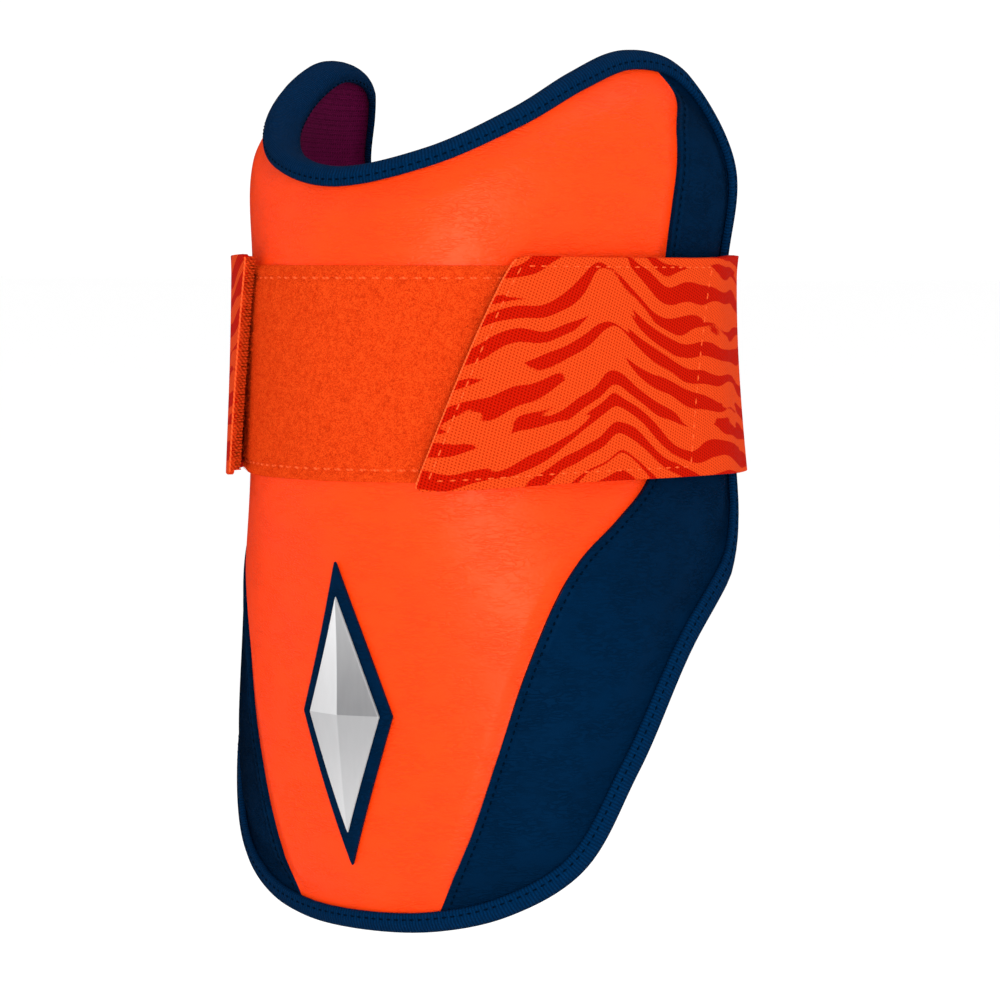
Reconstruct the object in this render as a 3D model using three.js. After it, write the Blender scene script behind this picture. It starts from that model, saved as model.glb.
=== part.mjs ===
// A batter's elbow guard: a padded leather shell for the outside of the arm, bound round its whole
// edge, with a loop patch sewn across the front and an elastic strap that closes behind the arm.
// Millimetres and degrees. +Z runs up the arm, -Y is the front and +X the viewer's right.
// The origin lies on the arm's axis, at the middle of the loop patch's width.

import * as THREE from 'three';

// The shell's outer face: half-width and front depth of its section at each height.
const SECTIONS = [
  { z: -156, halfWidth: 77.5, front: 68.3 },
  { z: -116, halfWidth: 77.4, front: 73.2 },
  { z: -71, halfWidth: 73.2, front: 76.2 },
  { z: -26, halfWidth: 64.6, front: 82 },
  { z: 24, halfWidth: 60.9, front: 84.6 },
  { z: 54, halfWidth: 65.4, front: 79 },
  { z: 84, halfWidth: 53, front: 68.5 },
];
const SIDE_DEPTH = 52;
const STRAP_BACK_DEPTH = 40;
const QUARTER_TURN = 90;
const BACK_EDGE = 112;
const HALF_TURN = 180;

// The right half of the edge, from the dip at the top middle round to the bottom middle:
// the angle from the front, and the height.
const EDGE = [
  { angle: 0, z: 52.3 },
  { angle: 21, z: 56.9 },
  { angle: 40, z: 66.8 },
  { angle: 57, z: 77.2 },
  { angle: 72, z: 83 },
  { angle: 86, z: 81.4 },
  { angle: 93.8, z: 73.8 },
  { angle: 100.3, z: 59.6 },
  { angle: 106.2, z: 40.5 },
  { angle: 109.5, z: 17 },
  { angle: 108, z: -12 },
  { angle: 104, z: -36.5 },
  { angle: 75.2, z: -71 },
  { angle: 59.4, z: -101.7 },
  { angle: 46, z: -127.4 },
  { angle: 31, z: -138.6 },
  { angle: 16.5, z: -143.4 },
  { angle: 0, z: -144.7 },
];
// Rows of EDGE where the seam ends, and where the lining's and the side panels' corners lie.
const SEAM_TOP_ROW = 4.5;
const UPPER_CORNER_ROW = 8;
const LOWER_CORNER_ROW = 11;
const SEAM_BOTTOM_ROW = 16;
const BOTTOM_ROW = EDGE.length - 1;
const ROWS_ROUND = 2 * BOTTOM_ROW;

// The right seam between the front panel and the side panel, from the top down to the bottom edge.
const SEAM = [
  { angle: 83.6, z: 73.4 },
  { angle: 79.4, z: 62 },
  { angle: 77.4, z: 47 },
  { angle: 79, z: 28 },
  { angle: 79.6, z: 6 },
  { angle: 76.8, z: -15 },
  { angle: 70.6, z: -28.5 },
  { angle: 62.5, z: -37.7 },
  { angle: 52.9, z: -47.5 },
  { angle: 45, z: -60 },
  { angle: 37.4, z: -78 },
  { angle: 31.1, z: -98.5 },
  { angle: 24.8, z: -119.3 },
];

// Padding and lining, and how far the edge is pressed together under the binding.
const PAD = 6.5;
const RIM_PAD = 3.7;
const RIM_SINK = 1.8;
const LINING = 1.3;
const LINING_GAP = 0.7;
const PANEL_INSET = 1.5;
const SWELL_START = 4.5;
const SWELL_END = 13.5;
const SEAM_SINK = 0.8;
const SEAM_GROOVE = 4;
const SEAM_GAP = 0.2;

// The binding is a tape folded round the edge, open towards the pad.
const TAPE = 1.2;
const TAPE_REACH = 6;
const TAPE_BACK_REACH = 4.2;
const TAPE_NOSE = 2.5;
const TAPE_PROUD = 1.5;
const RIM_THICKNESS = 9.6;

// The fastening, stacked outwards from the shell: loop patch, hook pad, strap.
const SEAT_GAP = 0.5;
const STACK_GAP = 0.3;
const PATCH = { angle: 75.5, width: 55, thickness: 1.5 };
const HOOK = { thickness: 1.5, inset: 2, endAngle: 82.5, endSlant: 0.18, endInset: 2 };
const STRAP = { width: 58, rise: 1.2, thickness: 1.8, clearance: 0.4 };
const STRAP_RIGHT = { end: 31.8, slant: 0.38 };
const STRAP_LEFT = { end: -29.5, slant: 0.17 };
const STRAP_FALL_START = 88;
const STRAP_FALL_END = 104;
const HOOK_LIFT = SEAT_GAP + PATCH.thickness + STACK_GAP;
const STRAP_LIFT = HOOK_LIFT + HOOK.thickness + STACK_GAP;

// The badge is a plain upright lozenge of four facets on a flat border.
const BADGE = { z: -88, height: 62, width: 21, ridge: 2.2, base: 0.8, tip: 1.2 };
const BORDER = { thickness: 1, margin: 3 };

// How far a degree reaches on the face, and how finely the edge and the seam are measured.
const MM_PER_DEGREE = 1.25;
const EDGE_SAMPLES = 320;
const SEAM_SAMPLES = 120;
const SMALL_STEP = 0.05;

// How many steps each piece is divided into, across and up, and how much they crowd at its borders.
const CROWDING = 0.5;
const FRONT_STEPS = { across: 20, up: 26 };
const SIDE_STEPS = { across: 10, up: 26 };
const LINING_STEPS = { across: 24, up: 16 };
const LOZENGE_STEPS = { across: 4, up: 10 };
const PATCH_STEPS = { across: 26, up: 5 };
const HOOK_STEPS = { across: 12, up: 5 };
const STRAP_STEPS = { across: 60, up: 5 };
const EDGE_STEPS = 100;
const NOSE_STEPS = 3;

const FINISHES = {
  orangeLeather: { color: 0xff4d18, roughness: 0.5, metalness: 0 },
  navyLeather: { color: 0x012444, roughness: 0.5, metalness: 0 },
  navyTape: { color: 0x0b2c4e, roughness: 0.7, metalness: 0 },
  maroonMesh: { color: 0x3d0b2e, roughness: 0.9, metalness: 0 },
  orangeLoop: { color: 0xf64c1b, roughness: 1, metalness: 0 },
  orangeHook: { color: 0xc9400f, roughness: 0.9, metalness: 0 },
  stripedWeb: { color: 0xe74014, roughness: 0.8, metalness: 0 },
  silver: { color: 0xb9b9bb, roughness: 0.35, metalness: 0.6 },
};

// A smooth curve through one column of a table whose rows are in order of another column.
function smoothColumn(rows, key, column) {
  const slopes = rows.map((row, i) => {
    const before = rows[Math.max(i - 1, 0)];
    const after = rows[Math.min(i + 1, rows.length - 1)];
    return (after[column] - before[column]) / (after[key] - before[key]);
  });
  return (at) => {
    const next = rows.findIndex((row) => row[key] > at);
    const i = next < 0 ? rows.length - 2 : Math.max(next - 1, 0);
    const span = rows[i + 1][key] - rows[i][key];
    const f = (at - rows[i][key]) / span;
    const start = (1 + 2 * f) * (1 - f) ** 2 * rows[i][column] + f * (1 - f) ** 2 * span * slopes[i];
    const end = f * f * (3 - 2 * f) * rows[i + 1][column] + f * f * (f - 1) * span * slopes[i + 1];
    return start + end;
  };
}

const halfWidthAt = smoothColumn(SECTIONS, 'z', 'halfWidth');
const frontDepthAt = smoothColumn(SECTIONS, 'z', 'front');

// The nominal face at an angle from the front and a height. Past the back edge it is the strap's way round.
function facePoint(angle, z) {
  const turn = THREE.MathUtils.degToRad(angle);
  const fromFront = HALF_TURN - Math.abs(HALF_TURN - Math.abs(angle));
  const behind = THREE.MathUtils.smoothstep(fromFront, BACK_EDGE, HALF_TURN);
  const backDepth = THREE.MathUtils.lerp(SIDE_DEPTH, STRAP_BACK_DEPTH, behind);
  const depth = fromFront <= QUARTER_TURN ? frontDepthAt(z) : backDepth;
  return new THREE.Vector3(halfWidthAt(z) * Math.sin(turn), -depth * Math.cos(turn), z);
}

// The same point, raised from the nominal face along its normal.
function raisedPoint(angle, z, lift) {
  const along = facePoint(angle + SMALL_STEP, z).sub(facePoint(angle - SMALL_STEP, z));
  const up = facePoint(angle, z + SMALL_STEP).sub(facePoint(angle, z - SMALL_STEP));
  return facePoint(angle, z).addScaledVector(along.cross(up).normalize(), lift);
}

// Flat points are (angle, z). The edge is one closed curve, and a row number runs along it.
const mirroredEdge = EDGE.slice(1, BOTTOM_ROW).reverse().map((row) => ({ angle: -row.angle, z: row.z }));
const edgeCurve = new THREE.CatmullRomCurve3(
  [...EDGE, ...mirroredEdge].map((row) => new THREE.Vector3(row.angle, row.z, 0)),
  true,
);

// A flat point on the edge at a share of the whole way round, moved inwards by a distance.
function edgePoint(share, inset) {
  const round = share - Math.floor(share);
  const point = edgeCurve.getPoint(round);
  const tangent = edgeCurve.getTangent(round);
  const inward = new THREE.Vector2(tangent.y, -tangent.x * MM_PER_DEGREE).normalize();
  return new THREE.Vector2(point.x + (inset * inward.x) / MM_PER_DEGREE, point.y + inset * inward.y);
}

// The panels' border at a row of the edge, and the seam that runs between two such points.
const panelEdge = (row) => edgePoint(row / ROWS_ROUND, PANEL_INSET);
const seamCurve = new THREE.SplineCurve([
  panelEdge(SEAM_TOP_ROW),
  ...SEAM.map((row) => new THREE.Vector2(row.angle, row.z)),
  panelEdge(SEAM_BOTTOM_ROW),
]);

// The distance over the face to the nearest of some flat points.
function nearest(points, angle, z) {
  const gaps = points.map((p) => Math.hypot((p.x - angle) * MM_PER_DEGREE, p.y - z));
  return Math.min(...gaps);
}

const edgeSamples = Array.from({ length: EDGE_SAMPLES }, (_, i) => edgePoint(i / EDGE_SAMPLES, 0));
const seamSamples = seamCurve.getPoints(SEAM_SAMPLES);

// How far the pad has swollen, from 0 under the binding to 1 in the open panel.
function swell(angle, z) {
  return THREE.MathUtils.smoothstep(nearest(edgeSamples, angle, z), SWELL_START, SWELL_END);
}

function padOuterLift(angle, z) {
  const groove = 1 - THREE.MathUtils.smoothstep(nearest(seamSamples, Math.abs(angle), z), 0, SEAM_GROOVE);
  return -RIM_SINK * (1 - swell(angle, z)) - SEAM_SINK * groove * swell(angle, z);
}

function padInnerLift(angle, z) {
  return -THREE.MathUtils.lerp(RIM_SINK + RIM_PAD, PAD, swell(angle, z));
}

// A box bent into shape: across runs with the angle, up with the height and out from the arm.
function bentBox(steps, place) {
  const geometry = new THREE.BoxGeometry(1, 1, 1, steps.across, steps.up, 1);
  const position = geometry.attributes.position;
  for (let i = 0; i < position.count; i += 1) {
    const across = Math.round((position.getX(i) + 0.5) * steps.across) / steps.across;
    const up = Math.round((position.getY(i) + 0.5) * steps.up) / steps.up;
    const out = Math.round(position.getZ(i) + 0.5);
    const point = place(across, up, out);
    position.setXYZ(i, point.x, point.y, point.z);
  }
  geometry.computeVertexNormals();
  return geometry;
}

// Steps drawn closer together towards both ends, by a share of the way to cosine spacing.
function crowdEnds(share) {
  return THREE.MathUtils.lerp(share, 0.5 - 0.5 * Math.cos(Math.PI * share), CROWDING);
}

// A smooth flat patch between four border curves that meet at its corners.
function fourSided(bottom, top, left, right) {
  return (across, up) => {
    const upwards = bottom(across).lerp(top(across), up);
    const sideways = left(up).lerp(right(up), across);
    const lower = bottom(0).lerp(bottom(1), across);
    const corners = lower.lerp(top(0).lerp(top(1), across), up);
    return upwards.add(sideways).sub(corners);
  };
}

// Borders of the panels, each from its own start to its own end.
const mirrored = (flat) => new THREE.Vector2(-flat.x, flat.y);
const seamAt = (up) => seamCurve.getPoint(1 - up);
const betweenRows = (from, to) => (share) => panelEdge(THREE.MathUtils.lerp(from, to, share));

// A padded wall over a flat patch, from the lining's side out to the leather.
function padWall(flat, steps) {
  return bentBox(steps, (across, up, out) => {
    const at = flat(crowdEnds(across), crowdEnds(up));
    const lift = THREE.MathUtils.lerp(padInnerLift(at.x, at.y), padOuterLift(at.x, at.y), out);
    return raisedPoint(at.x, at.y, lift);
  });
}

function frontPanel() {
  const patch = fourSided(
    betweenRows(ROWS_ROUND - SEAM_BOTTOM_ROW, SEAM_BOTTOM_ROW),
    betweenRows(-SEAM_TOP_ROW, SEAM_TOP_ROW),
    (up) => mirrored(seamAt(up)),
    seamAt,
  );
  const flat = (across, up) => {
    const at = patch(across, up);
    at.x += SEAM_GAP * (1 - 2 * across);
    return at;
  };
  return padWall(flat, FRONT_STEPS);
}

function sidePanel(side) {
  const patch = fourSided(
    betweenRows(SEAM_BOTTOM_ROW, LOWER_CORNER_ROW),
    betweenRows(SEAM_TOP_ROW, UPPER_CORNER_ROW),
    seamAt,
    betweenRows(LOWER_CORNER_ROW, UPPER_CORNER_ROW),
  );
  const flat = (across, up) => {
    const fromSeam = side > 0 ? across : 1 - across;
    const at = patch(fromSeam, up);
    at.x += SEAM_GAP * (1 - fromSeam);
    return side > 0 ? at : mirrored(at);
  };
  return padWall(flat, SIDE_STEPS);
}

function lining() {
  const flat = fourSided(
    betweenRows(ROWS_ROUND - LOWER_CORNER_ROW, LOWER_CORNER_ROW),
    betweenRows(-UPPER_CORNER_ROW, UPPER_CORNER_ROW),
    betweenRows(ROWS_ROUND - LOWER_CORNER_ROW, ROWS_ROUND - UPPER_CORNER_ROW),
    betweenRows(LOWER_CORNER_ROW, UPPER_CORNER_ROW),
  );
  return bentBox(LINING_STEPS, (across, up, out) => {
    const at = flat(across, crowdEnds(up));
    const lift = padInnerLift(at.x, at.y) - LINING_GAP - LINING * (1 - out);
    return raisedPoint(at.x, at.y, lift);
  });
}

// The tape's section: inset from its own nose and depth under the nominal face, round its two skins.
function tapeSection() {
  const noseTurns = Array.from({ length: NOSE_STEPS + 1 }, (_, i) => (Math.PI * i) / NOSE_STEPS);
  const skin = (shrink) => {
    const nose = noseTurns.map((turn) => ({
      inset: TAPE_NOSE - (TAPE_NOSE - shrink) * Math.sin(turn),
      depth: RIM_THICKNESS / 2 - (RIM_THICKNESS / 2 - shrink) * Math.cos(turn),
    }));
    return [
      { inset: TAPE_REACH, depth: shrink },
      ...nose,
      { inset: TAPE_BACK_REACH, depth: RIM_THICKNESS - shrink },
    ];
  };
  return [...skin(0), ...skin(TAPE).reverse()];
}

// A ring bent into the binding: one way follows the edge, the other goes round the tape's section.
function edgeBinding() {
  const section = tapeSection();
  const geometry = new THREE.TorusGeometry(1, 0.5, section.length, EDGE_STEPS);
  const { position, uv } = geometry.attributes;
  for (let i = 0; i < position.count; i += 1) {
    const corner = section[Math.round(uv.getY(i) * section.length) % section.length];
    const step = Math.round(uv.getX(i) * EDGE_STEPS) % EDGE_STEPS;
    const at = edgePoint(step / EDGE_STEPS, corner.inset - TAPE_PROUD);
    const point = raisedPoint(at.x, at.y, -corner.depth);
    position.setXYZ(i, point.x, point.y, point.z);
  }
  geometry.computeVertexNormals();
  return geometry;
}

// A band of even thickness over the face, between two ends that may slant with the height.
function band(steps, width, startAt, endAt, liftAt, thickness, rise = 0) {
  return bentBox(steps, (across, up, out) => {
    const z = rise + width * (up - 0.5);
    const angle = THREE.MathUtils.lerp(startAt(z), endAt(z), across);
    return raisedPoint(angle, z, liftAt(angle) + thickness * out);
  });
}

// Where the strap and its hook pads end, as an angle at each height.
const strapRightEnd = (z) => STRAP_RIGHT.end + STRAP_RIGHT.slant * z;
const strapLeftEnd = (z) => STRAP_LEFT.end + STRAP_LEFT.slant * z;
const hookRightFront = (z) => strapRightEnd(z) + HOOK.endInset;
const hookRightBack = (z) => HOOK.endAngle + HOOK.endSlant * z;
const hookLeftFront = (z) => strapLeftEnd(z) - HOOK.endInset;
const hookLeftBack = (z) => -HOOK.endAngle + HOOK.endSlant * z;

function loopPatch() {
  const startAt = () => -PATCH.angle;
  const endAt = () => PATCH.angle;
  return band(PATCH_STEPS, PATCH.width, startAt, endAt, () => SEAT_GAP, PATCH.thickness);
}

function hookPad(startAt, endAt) {
  const width = STRAP.width - 2 * HOOK.inset;
  return band(HOOK_STEPS, width, startAt, endAt, () => HOOK_LIFT, HOOK.thickness, STRAP.rise);
}

// The strap stands on its hook pads at both ends and comes down onto the side panels behind them.
function strapLift(angle) {
  const fromFront = Math.min(angle, 2 * HALF_TURN - angle);
  const fallen = THREE.MathUtils.smoothstep(fromFront, STRAP_FALL_START, STRAP_FALL_END);
  return THREE.MathUtils.lerp(STRAP_LIFT, STRAP.clearance, fallen);
}

function strap() {
  const leftEnd = (z) => 2 * HALF_TURN + strapLeftEnd(z);
  return band(STRAP_STEPS, STRAP.width, strapRightEnd, leftEnd, strapLift, STRAP.thickness, STRAP.rise);
}

// A lozenge on the front: raised from under to a top that may rise to a point in the middle.
function lozenge(width, height, underLift, topLift, ridge) {
  return bentBox(LOZENGE_STEPS, (across, up, out) => {
    const sideways = 2 * across - 1;
    const taper = 1 - Math.abs(2 * up - 1);
    const halfWidth = THREE.MathUtils.lerp(BADGE.tip / 2, width / 2, taper);
    const angle = (sideways * halfWidth) / MM_PER_DEGREE;
    const peak = ridge * taper * (1 - Math.abs(sideways));
    return raisedPoint(angle, BADGE.z + height * (up - 0.5), out > 0 ? topLift + peak : underLift);
  });
}

function badgeBorder() {
  const width = BADGE.width + 2 * BORDER.margin;
  const height = (BADGE.height * width) / BADGE.width;
  return lozenge(width, height, SEAT_GAP, SEAT_GAP + BORDER.thickness, 0);
}

function badgePlate() {
  const under = SEAT_GAP + BORDER.thickness + STACK_GAP;
  return lozenge(BADGE.width, BADGE.height, under, under + BADGE.base, BADGE.ridge);
}

const guard = new THREE.Group();

function addPiece(name, geometry, finish) {
  const mesh = new THREE.Mesh(geometry, new THREE.MeshStandardMaterial(finish));
  mesh.name = name;
  guard.add(mesh);
}

addPiece('front_panel', frontPanel(), FINISHES.orangeLeather);
addPiece('side_panel_left', sidePanel(-1), FINISHES.navyLeather);
addPiece('side_panel_right', sidePanel(1), FINISHES.navyLeather);
addPiece('lining', lining(), FINISHES.maroonMesh);
addPiece('edge_binding', edgeBinding(), FINISHES.navyTape);
addPiece('loop_patch', loopPatch(), FINISHES.orangeLoop);
addPiece('hook_pad_right', hookPad(hookRightFront, hookRightBack), FINISHES.orangeHook);
addPiece('hook_pad_left', hookPad(hookLeftBack, hookLeftFront), FINISHES.orangeHook);
addPiece('strap', strap(), FINISHES.stripedWeb);
addPiece('badge_border', badgeBorder(), FINISHES.navyLeather);
addPiece('badge_plate', badgePlate(), FINISHES.silver);

export default guard;
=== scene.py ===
"""Looks of a batter's elbow guard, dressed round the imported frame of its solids.

Sizes are millimetres and degrees, as on a maker's drawing, and the meshes are made in metres.
A flat point is (angle from the front, height). +Z runs up the arm and -Y is the front.
"""

from __future__ import annotations

import logging
import math
from dataclasses import dataclass
from enum import Enum
from functools import cached_property, partial
from typing import Any, Callable, NamedTuple, Sequence

import bpy
import numpy as np
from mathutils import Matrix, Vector


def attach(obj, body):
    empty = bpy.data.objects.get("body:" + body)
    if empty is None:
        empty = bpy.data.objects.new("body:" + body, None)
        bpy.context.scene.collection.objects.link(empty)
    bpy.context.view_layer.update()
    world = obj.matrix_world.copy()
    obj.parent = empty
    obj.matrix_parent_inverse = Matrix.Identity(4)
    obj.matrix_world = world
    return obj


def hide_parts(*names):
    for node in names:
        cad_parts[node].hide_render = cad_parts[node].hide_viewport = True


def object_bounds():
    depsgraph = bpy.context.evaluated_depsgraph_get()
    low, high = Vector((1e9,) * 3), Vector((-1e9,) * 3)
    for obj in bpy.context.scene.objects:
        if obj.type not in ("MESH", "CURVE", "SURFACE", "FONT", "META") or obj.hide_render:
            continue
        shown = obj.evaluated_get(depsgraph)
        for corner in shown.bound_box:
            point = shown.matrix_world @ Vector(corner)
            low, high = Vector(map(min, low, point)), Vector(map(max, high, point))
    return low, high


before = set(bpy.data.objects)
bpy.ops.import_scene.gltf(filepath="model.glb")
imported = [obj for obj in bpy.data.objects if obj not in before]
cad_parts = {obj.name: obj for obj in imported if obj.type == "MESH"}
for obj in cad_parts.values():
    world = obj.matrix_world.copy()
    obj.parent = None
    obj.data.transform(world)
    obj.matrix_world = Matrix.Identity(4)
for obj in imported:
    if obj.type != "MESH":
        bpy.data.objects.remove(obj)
cad_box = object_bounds()

Array = np.ndarray
Colour = tuple[float, float, float, float]
Span = tuple[float, float]
Triple = tuple[float, float, float]
Curve = Callable[[Array], Array]
Piece = bpy.types.Object
Socket = bpy.types.NodeSocket

MM = 0.001
FULL_TURN = 360.0
WELD_GAP = 0.01
RIM_ANGLE = 55.0
SMOOTH_ANGLE = 50.0
BODY = "root"
log = logging.getLogger("elbow_guard")


class Section(NamedTuple):
    """One level of the shell: its height, half-width and front depth."""

    z: float
    half_width: float
    front: float


class Flat(NamedTuple):
    """A point of the shell: the angle from the front and the height."""

    angle: float
    z: float


class Side(Enum):
    """A side of the guard, as the sign of X."""

    LEFT = -1
    RIGHT = 1


class Held(Enum):
    """How a sheet of cloth is held in place."""

    STRETCHED = "stretched"
    FOLDED = "folded"
    LAID = "laid"


SECTIONS = (
    Section(-156, 77.5, 68.3),
    Section(-116, 77.4, 73.2),
    Section(-71, 73.2, 76.2),
    Section(-26, 64.6, 82.0),
    Section(24, 60.9, 84.6),
    Section(54, 65.4, 79.0),
    Section(84, 53.0, 68.5),
)
# The right half of the edge, from the top middle round to the bottom middle.
EDGE = (
    Flat(0, 52.3),
    Flat(21, 56.9),
    Flat(40, 66.8),
    Flat(57, 77.2),
    Flat(72, 83.0),
    Flat(86, 81.4),
    Flat(93.8, 73.8),
    Flat(100.3, 59.6),
    Flat(106.2, 40.5),
    Flat(109.5, 17.0),
    Flat(108, -12.0),
    Flat(104, -36.5),
    Flat(75.2, -71.0),
    Flat(59.4, -101.7),
    Flat(46, -127.4),
    Flat(31, -138.6),
    Flat(16.5, -143.4),
    Flat(0, -144.7),
)
# The right seam between the front panel and the side panel, from the top down.
SEAM = (
    Flat(83.6, 73.4),
    Flat(79.4, 62.0),
    Flat(77.4, 47.0),
    Flat(79, 28.0),
    Flat(79.6, 6.0),
    Flat(76.8, -15.0),
    Flat(70.6, -28.5),
    Flat(62.5, -37.7),
    Flat(52.9, -47.5),
    Flat(45, -60.0),
    Flat(37.4, -78.0),
    Flat(31.1, -98.5),
    Flat(24.8, -119.3),
)
# Rows of EDGE where the seam ends, and where the panels and the lining have their corners.
SEAM_TOP_ROW = 4.5
UPPER_CORNER_ROW = 8
LOWER_CORNER_ROW = 11
SEAM_BOTTOM_ROW = 16
ROWS_ROUND = 2 * (len(EDGE) - 1)


def smoothstep(value: Array, low: float, high: float) -> Array:
    """Eases from 0 at low to 1 at high.

    Args:
        value: The values to ease.
        low: The value where the ease starts.
        high: The value where it ends.

    Returns:
        The eased share of each value.
    """
    share = np.clip((value - low) / (high - low), 0.0, 1.0)
    return share * share * (3.0 - 2.0 * share)


def lerp(start: Any, end: Any, share: Any) -> Any:
    """Goes a share of the way from start to end."""
    return start + (end - start) * share


def unit(vectors: Array) -> Array:
    """Gives rows of vectors a length of 1."""
    return vectors / np.linalg.norm(vectors, axis=-1, keepdims=True)


def hermite(share: Array, start: Array, leave: Array, end: Array, arrive: Array) -> Array:
    """Runs a smooth curve between two values.

    Args:
        share: How far along the curve, from 0 to 1.
        start: The value at its start.
        leave: The slope at its start.
        end: The value at its end.
        arrive: The slope at its end.

    Returns:
        The value at each share.
    """
    first = (1 + 2 * share) * (1 - share) ** 2 * start + share * (1 - share) ** 2 * leave
    return first + share * share * (3 - 2 * share) * end + share * share * (share - 1) * arrive


def spline(points: Array, share: Array, closed: bool) -> Array:
    """Runs a smooth curve through points: a centripetal one round a loop, an even one from end to end.

    Args:
        points: The points, a row each.
        share: How far along the curve, from 0 to 1.
        closed: Whether the curve is a loop.

    Returns:
        A point for each share.
    """
    last = len(points) - 1
    at = share * (last + 1 if closed else last)
    i = np.floor(at).astype(int) if closed else np.clip(np.floor(at).astype(int), 0, last - 1)
    reach = [i + step for step in (-1, 0, 1, 2)]
    a, b, c, d = (points[k % (last + 1) if closed else np.clip(k, 0, last)] for k in reach)
    leave, arrive = (c - a) / 2, (d - b) / 2
    if closed:
        gap = [np.sqrt(np.linalg.norm(q - p, axis=1, keepdims=True)) for p, q in ((a, b), (b, c), (c, d))]
        leave = gap[1] * ((b - a) / gap[0] - (c - a) / (gap[0] + gap[1]) + (c - b) / gap[1])
        arrive = gap[1] * ((c - b) / gap[1] - (d - b) / (gap[1] + gap[2]) + (d - c) / gap[2])
    return hermite((at - i)[:, None], b, leave, c, arrive)


def four_sided(across: Array, up: Array, bottom: Curve, top: Curve, left: Curve, right: Curve) -> Array:
    """Fills the space between four border curves that meet at their corners.

    Args:
        across: The shares across, from left to right.
        up: The shares up.
        bottom: The lower border, from left to right.
        top: The upper border, from left to right.
        left: The left border, upwards.
        right: The right border, upwards.

    Returns:
        A flat point for each pair of shares.
    """
    ends = np.array([0.0, 1.0])
    lower, upper = bottom(ends), top(ends)
    a, u = across[:, None], up[:, None]
    upwards = lerp(bottom(across), top(across), u)
    sideways = lerp(left(up), right(up), a)
    corners = lerp(lerp(lower[0], lower[1], a), lerp(upper[0], upper[1], a), u)
    return upwards + sideways - corners


def reach_along(points: Array) -> Array:
    """Measures how far along a line each of its points lies."""
    steps = np.linalg.norm(np.diff(points, axis=0), axis=1)
    return np.concatenate([[0.0], np.cumsum(steps)])


def read_along(values: Array, reach: Array, at: Array) -> Array:
    """Reads values between the points of a line.

    Args:
        values: A row of values for each point.
        reach: How far along the line each point lies.
        at: How far along it to read.

    Returns:
        A row of values for each reading.
    """
    return np.stack([np.interp(at, reach, column) for column in values.T], axis=-1)


def crowd_ends(share: Array, amount: float) -> Array:
    """Draws steps closer together towards both ends, a part of the way to cosine spacing."""
    return lerp(share, 0.5 - 0.5 * np.cos(math.pi * share), amount)


def pulled_in(away: Array, line: float, depth: float, spread: float) -> Array:
    """Gives how deep a row of stitches pulls the cloth in.

    Args:
        away: The distances from the cloth's border.
        line: The stitches' distance from it.
        depth: How deep they lie.
        spread: How far to each side the pull reaches.

    Returns:
        The depth at each distance.
    """
    return depth * np.exp(-(((away - line) / spread) ** 2))


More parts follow.
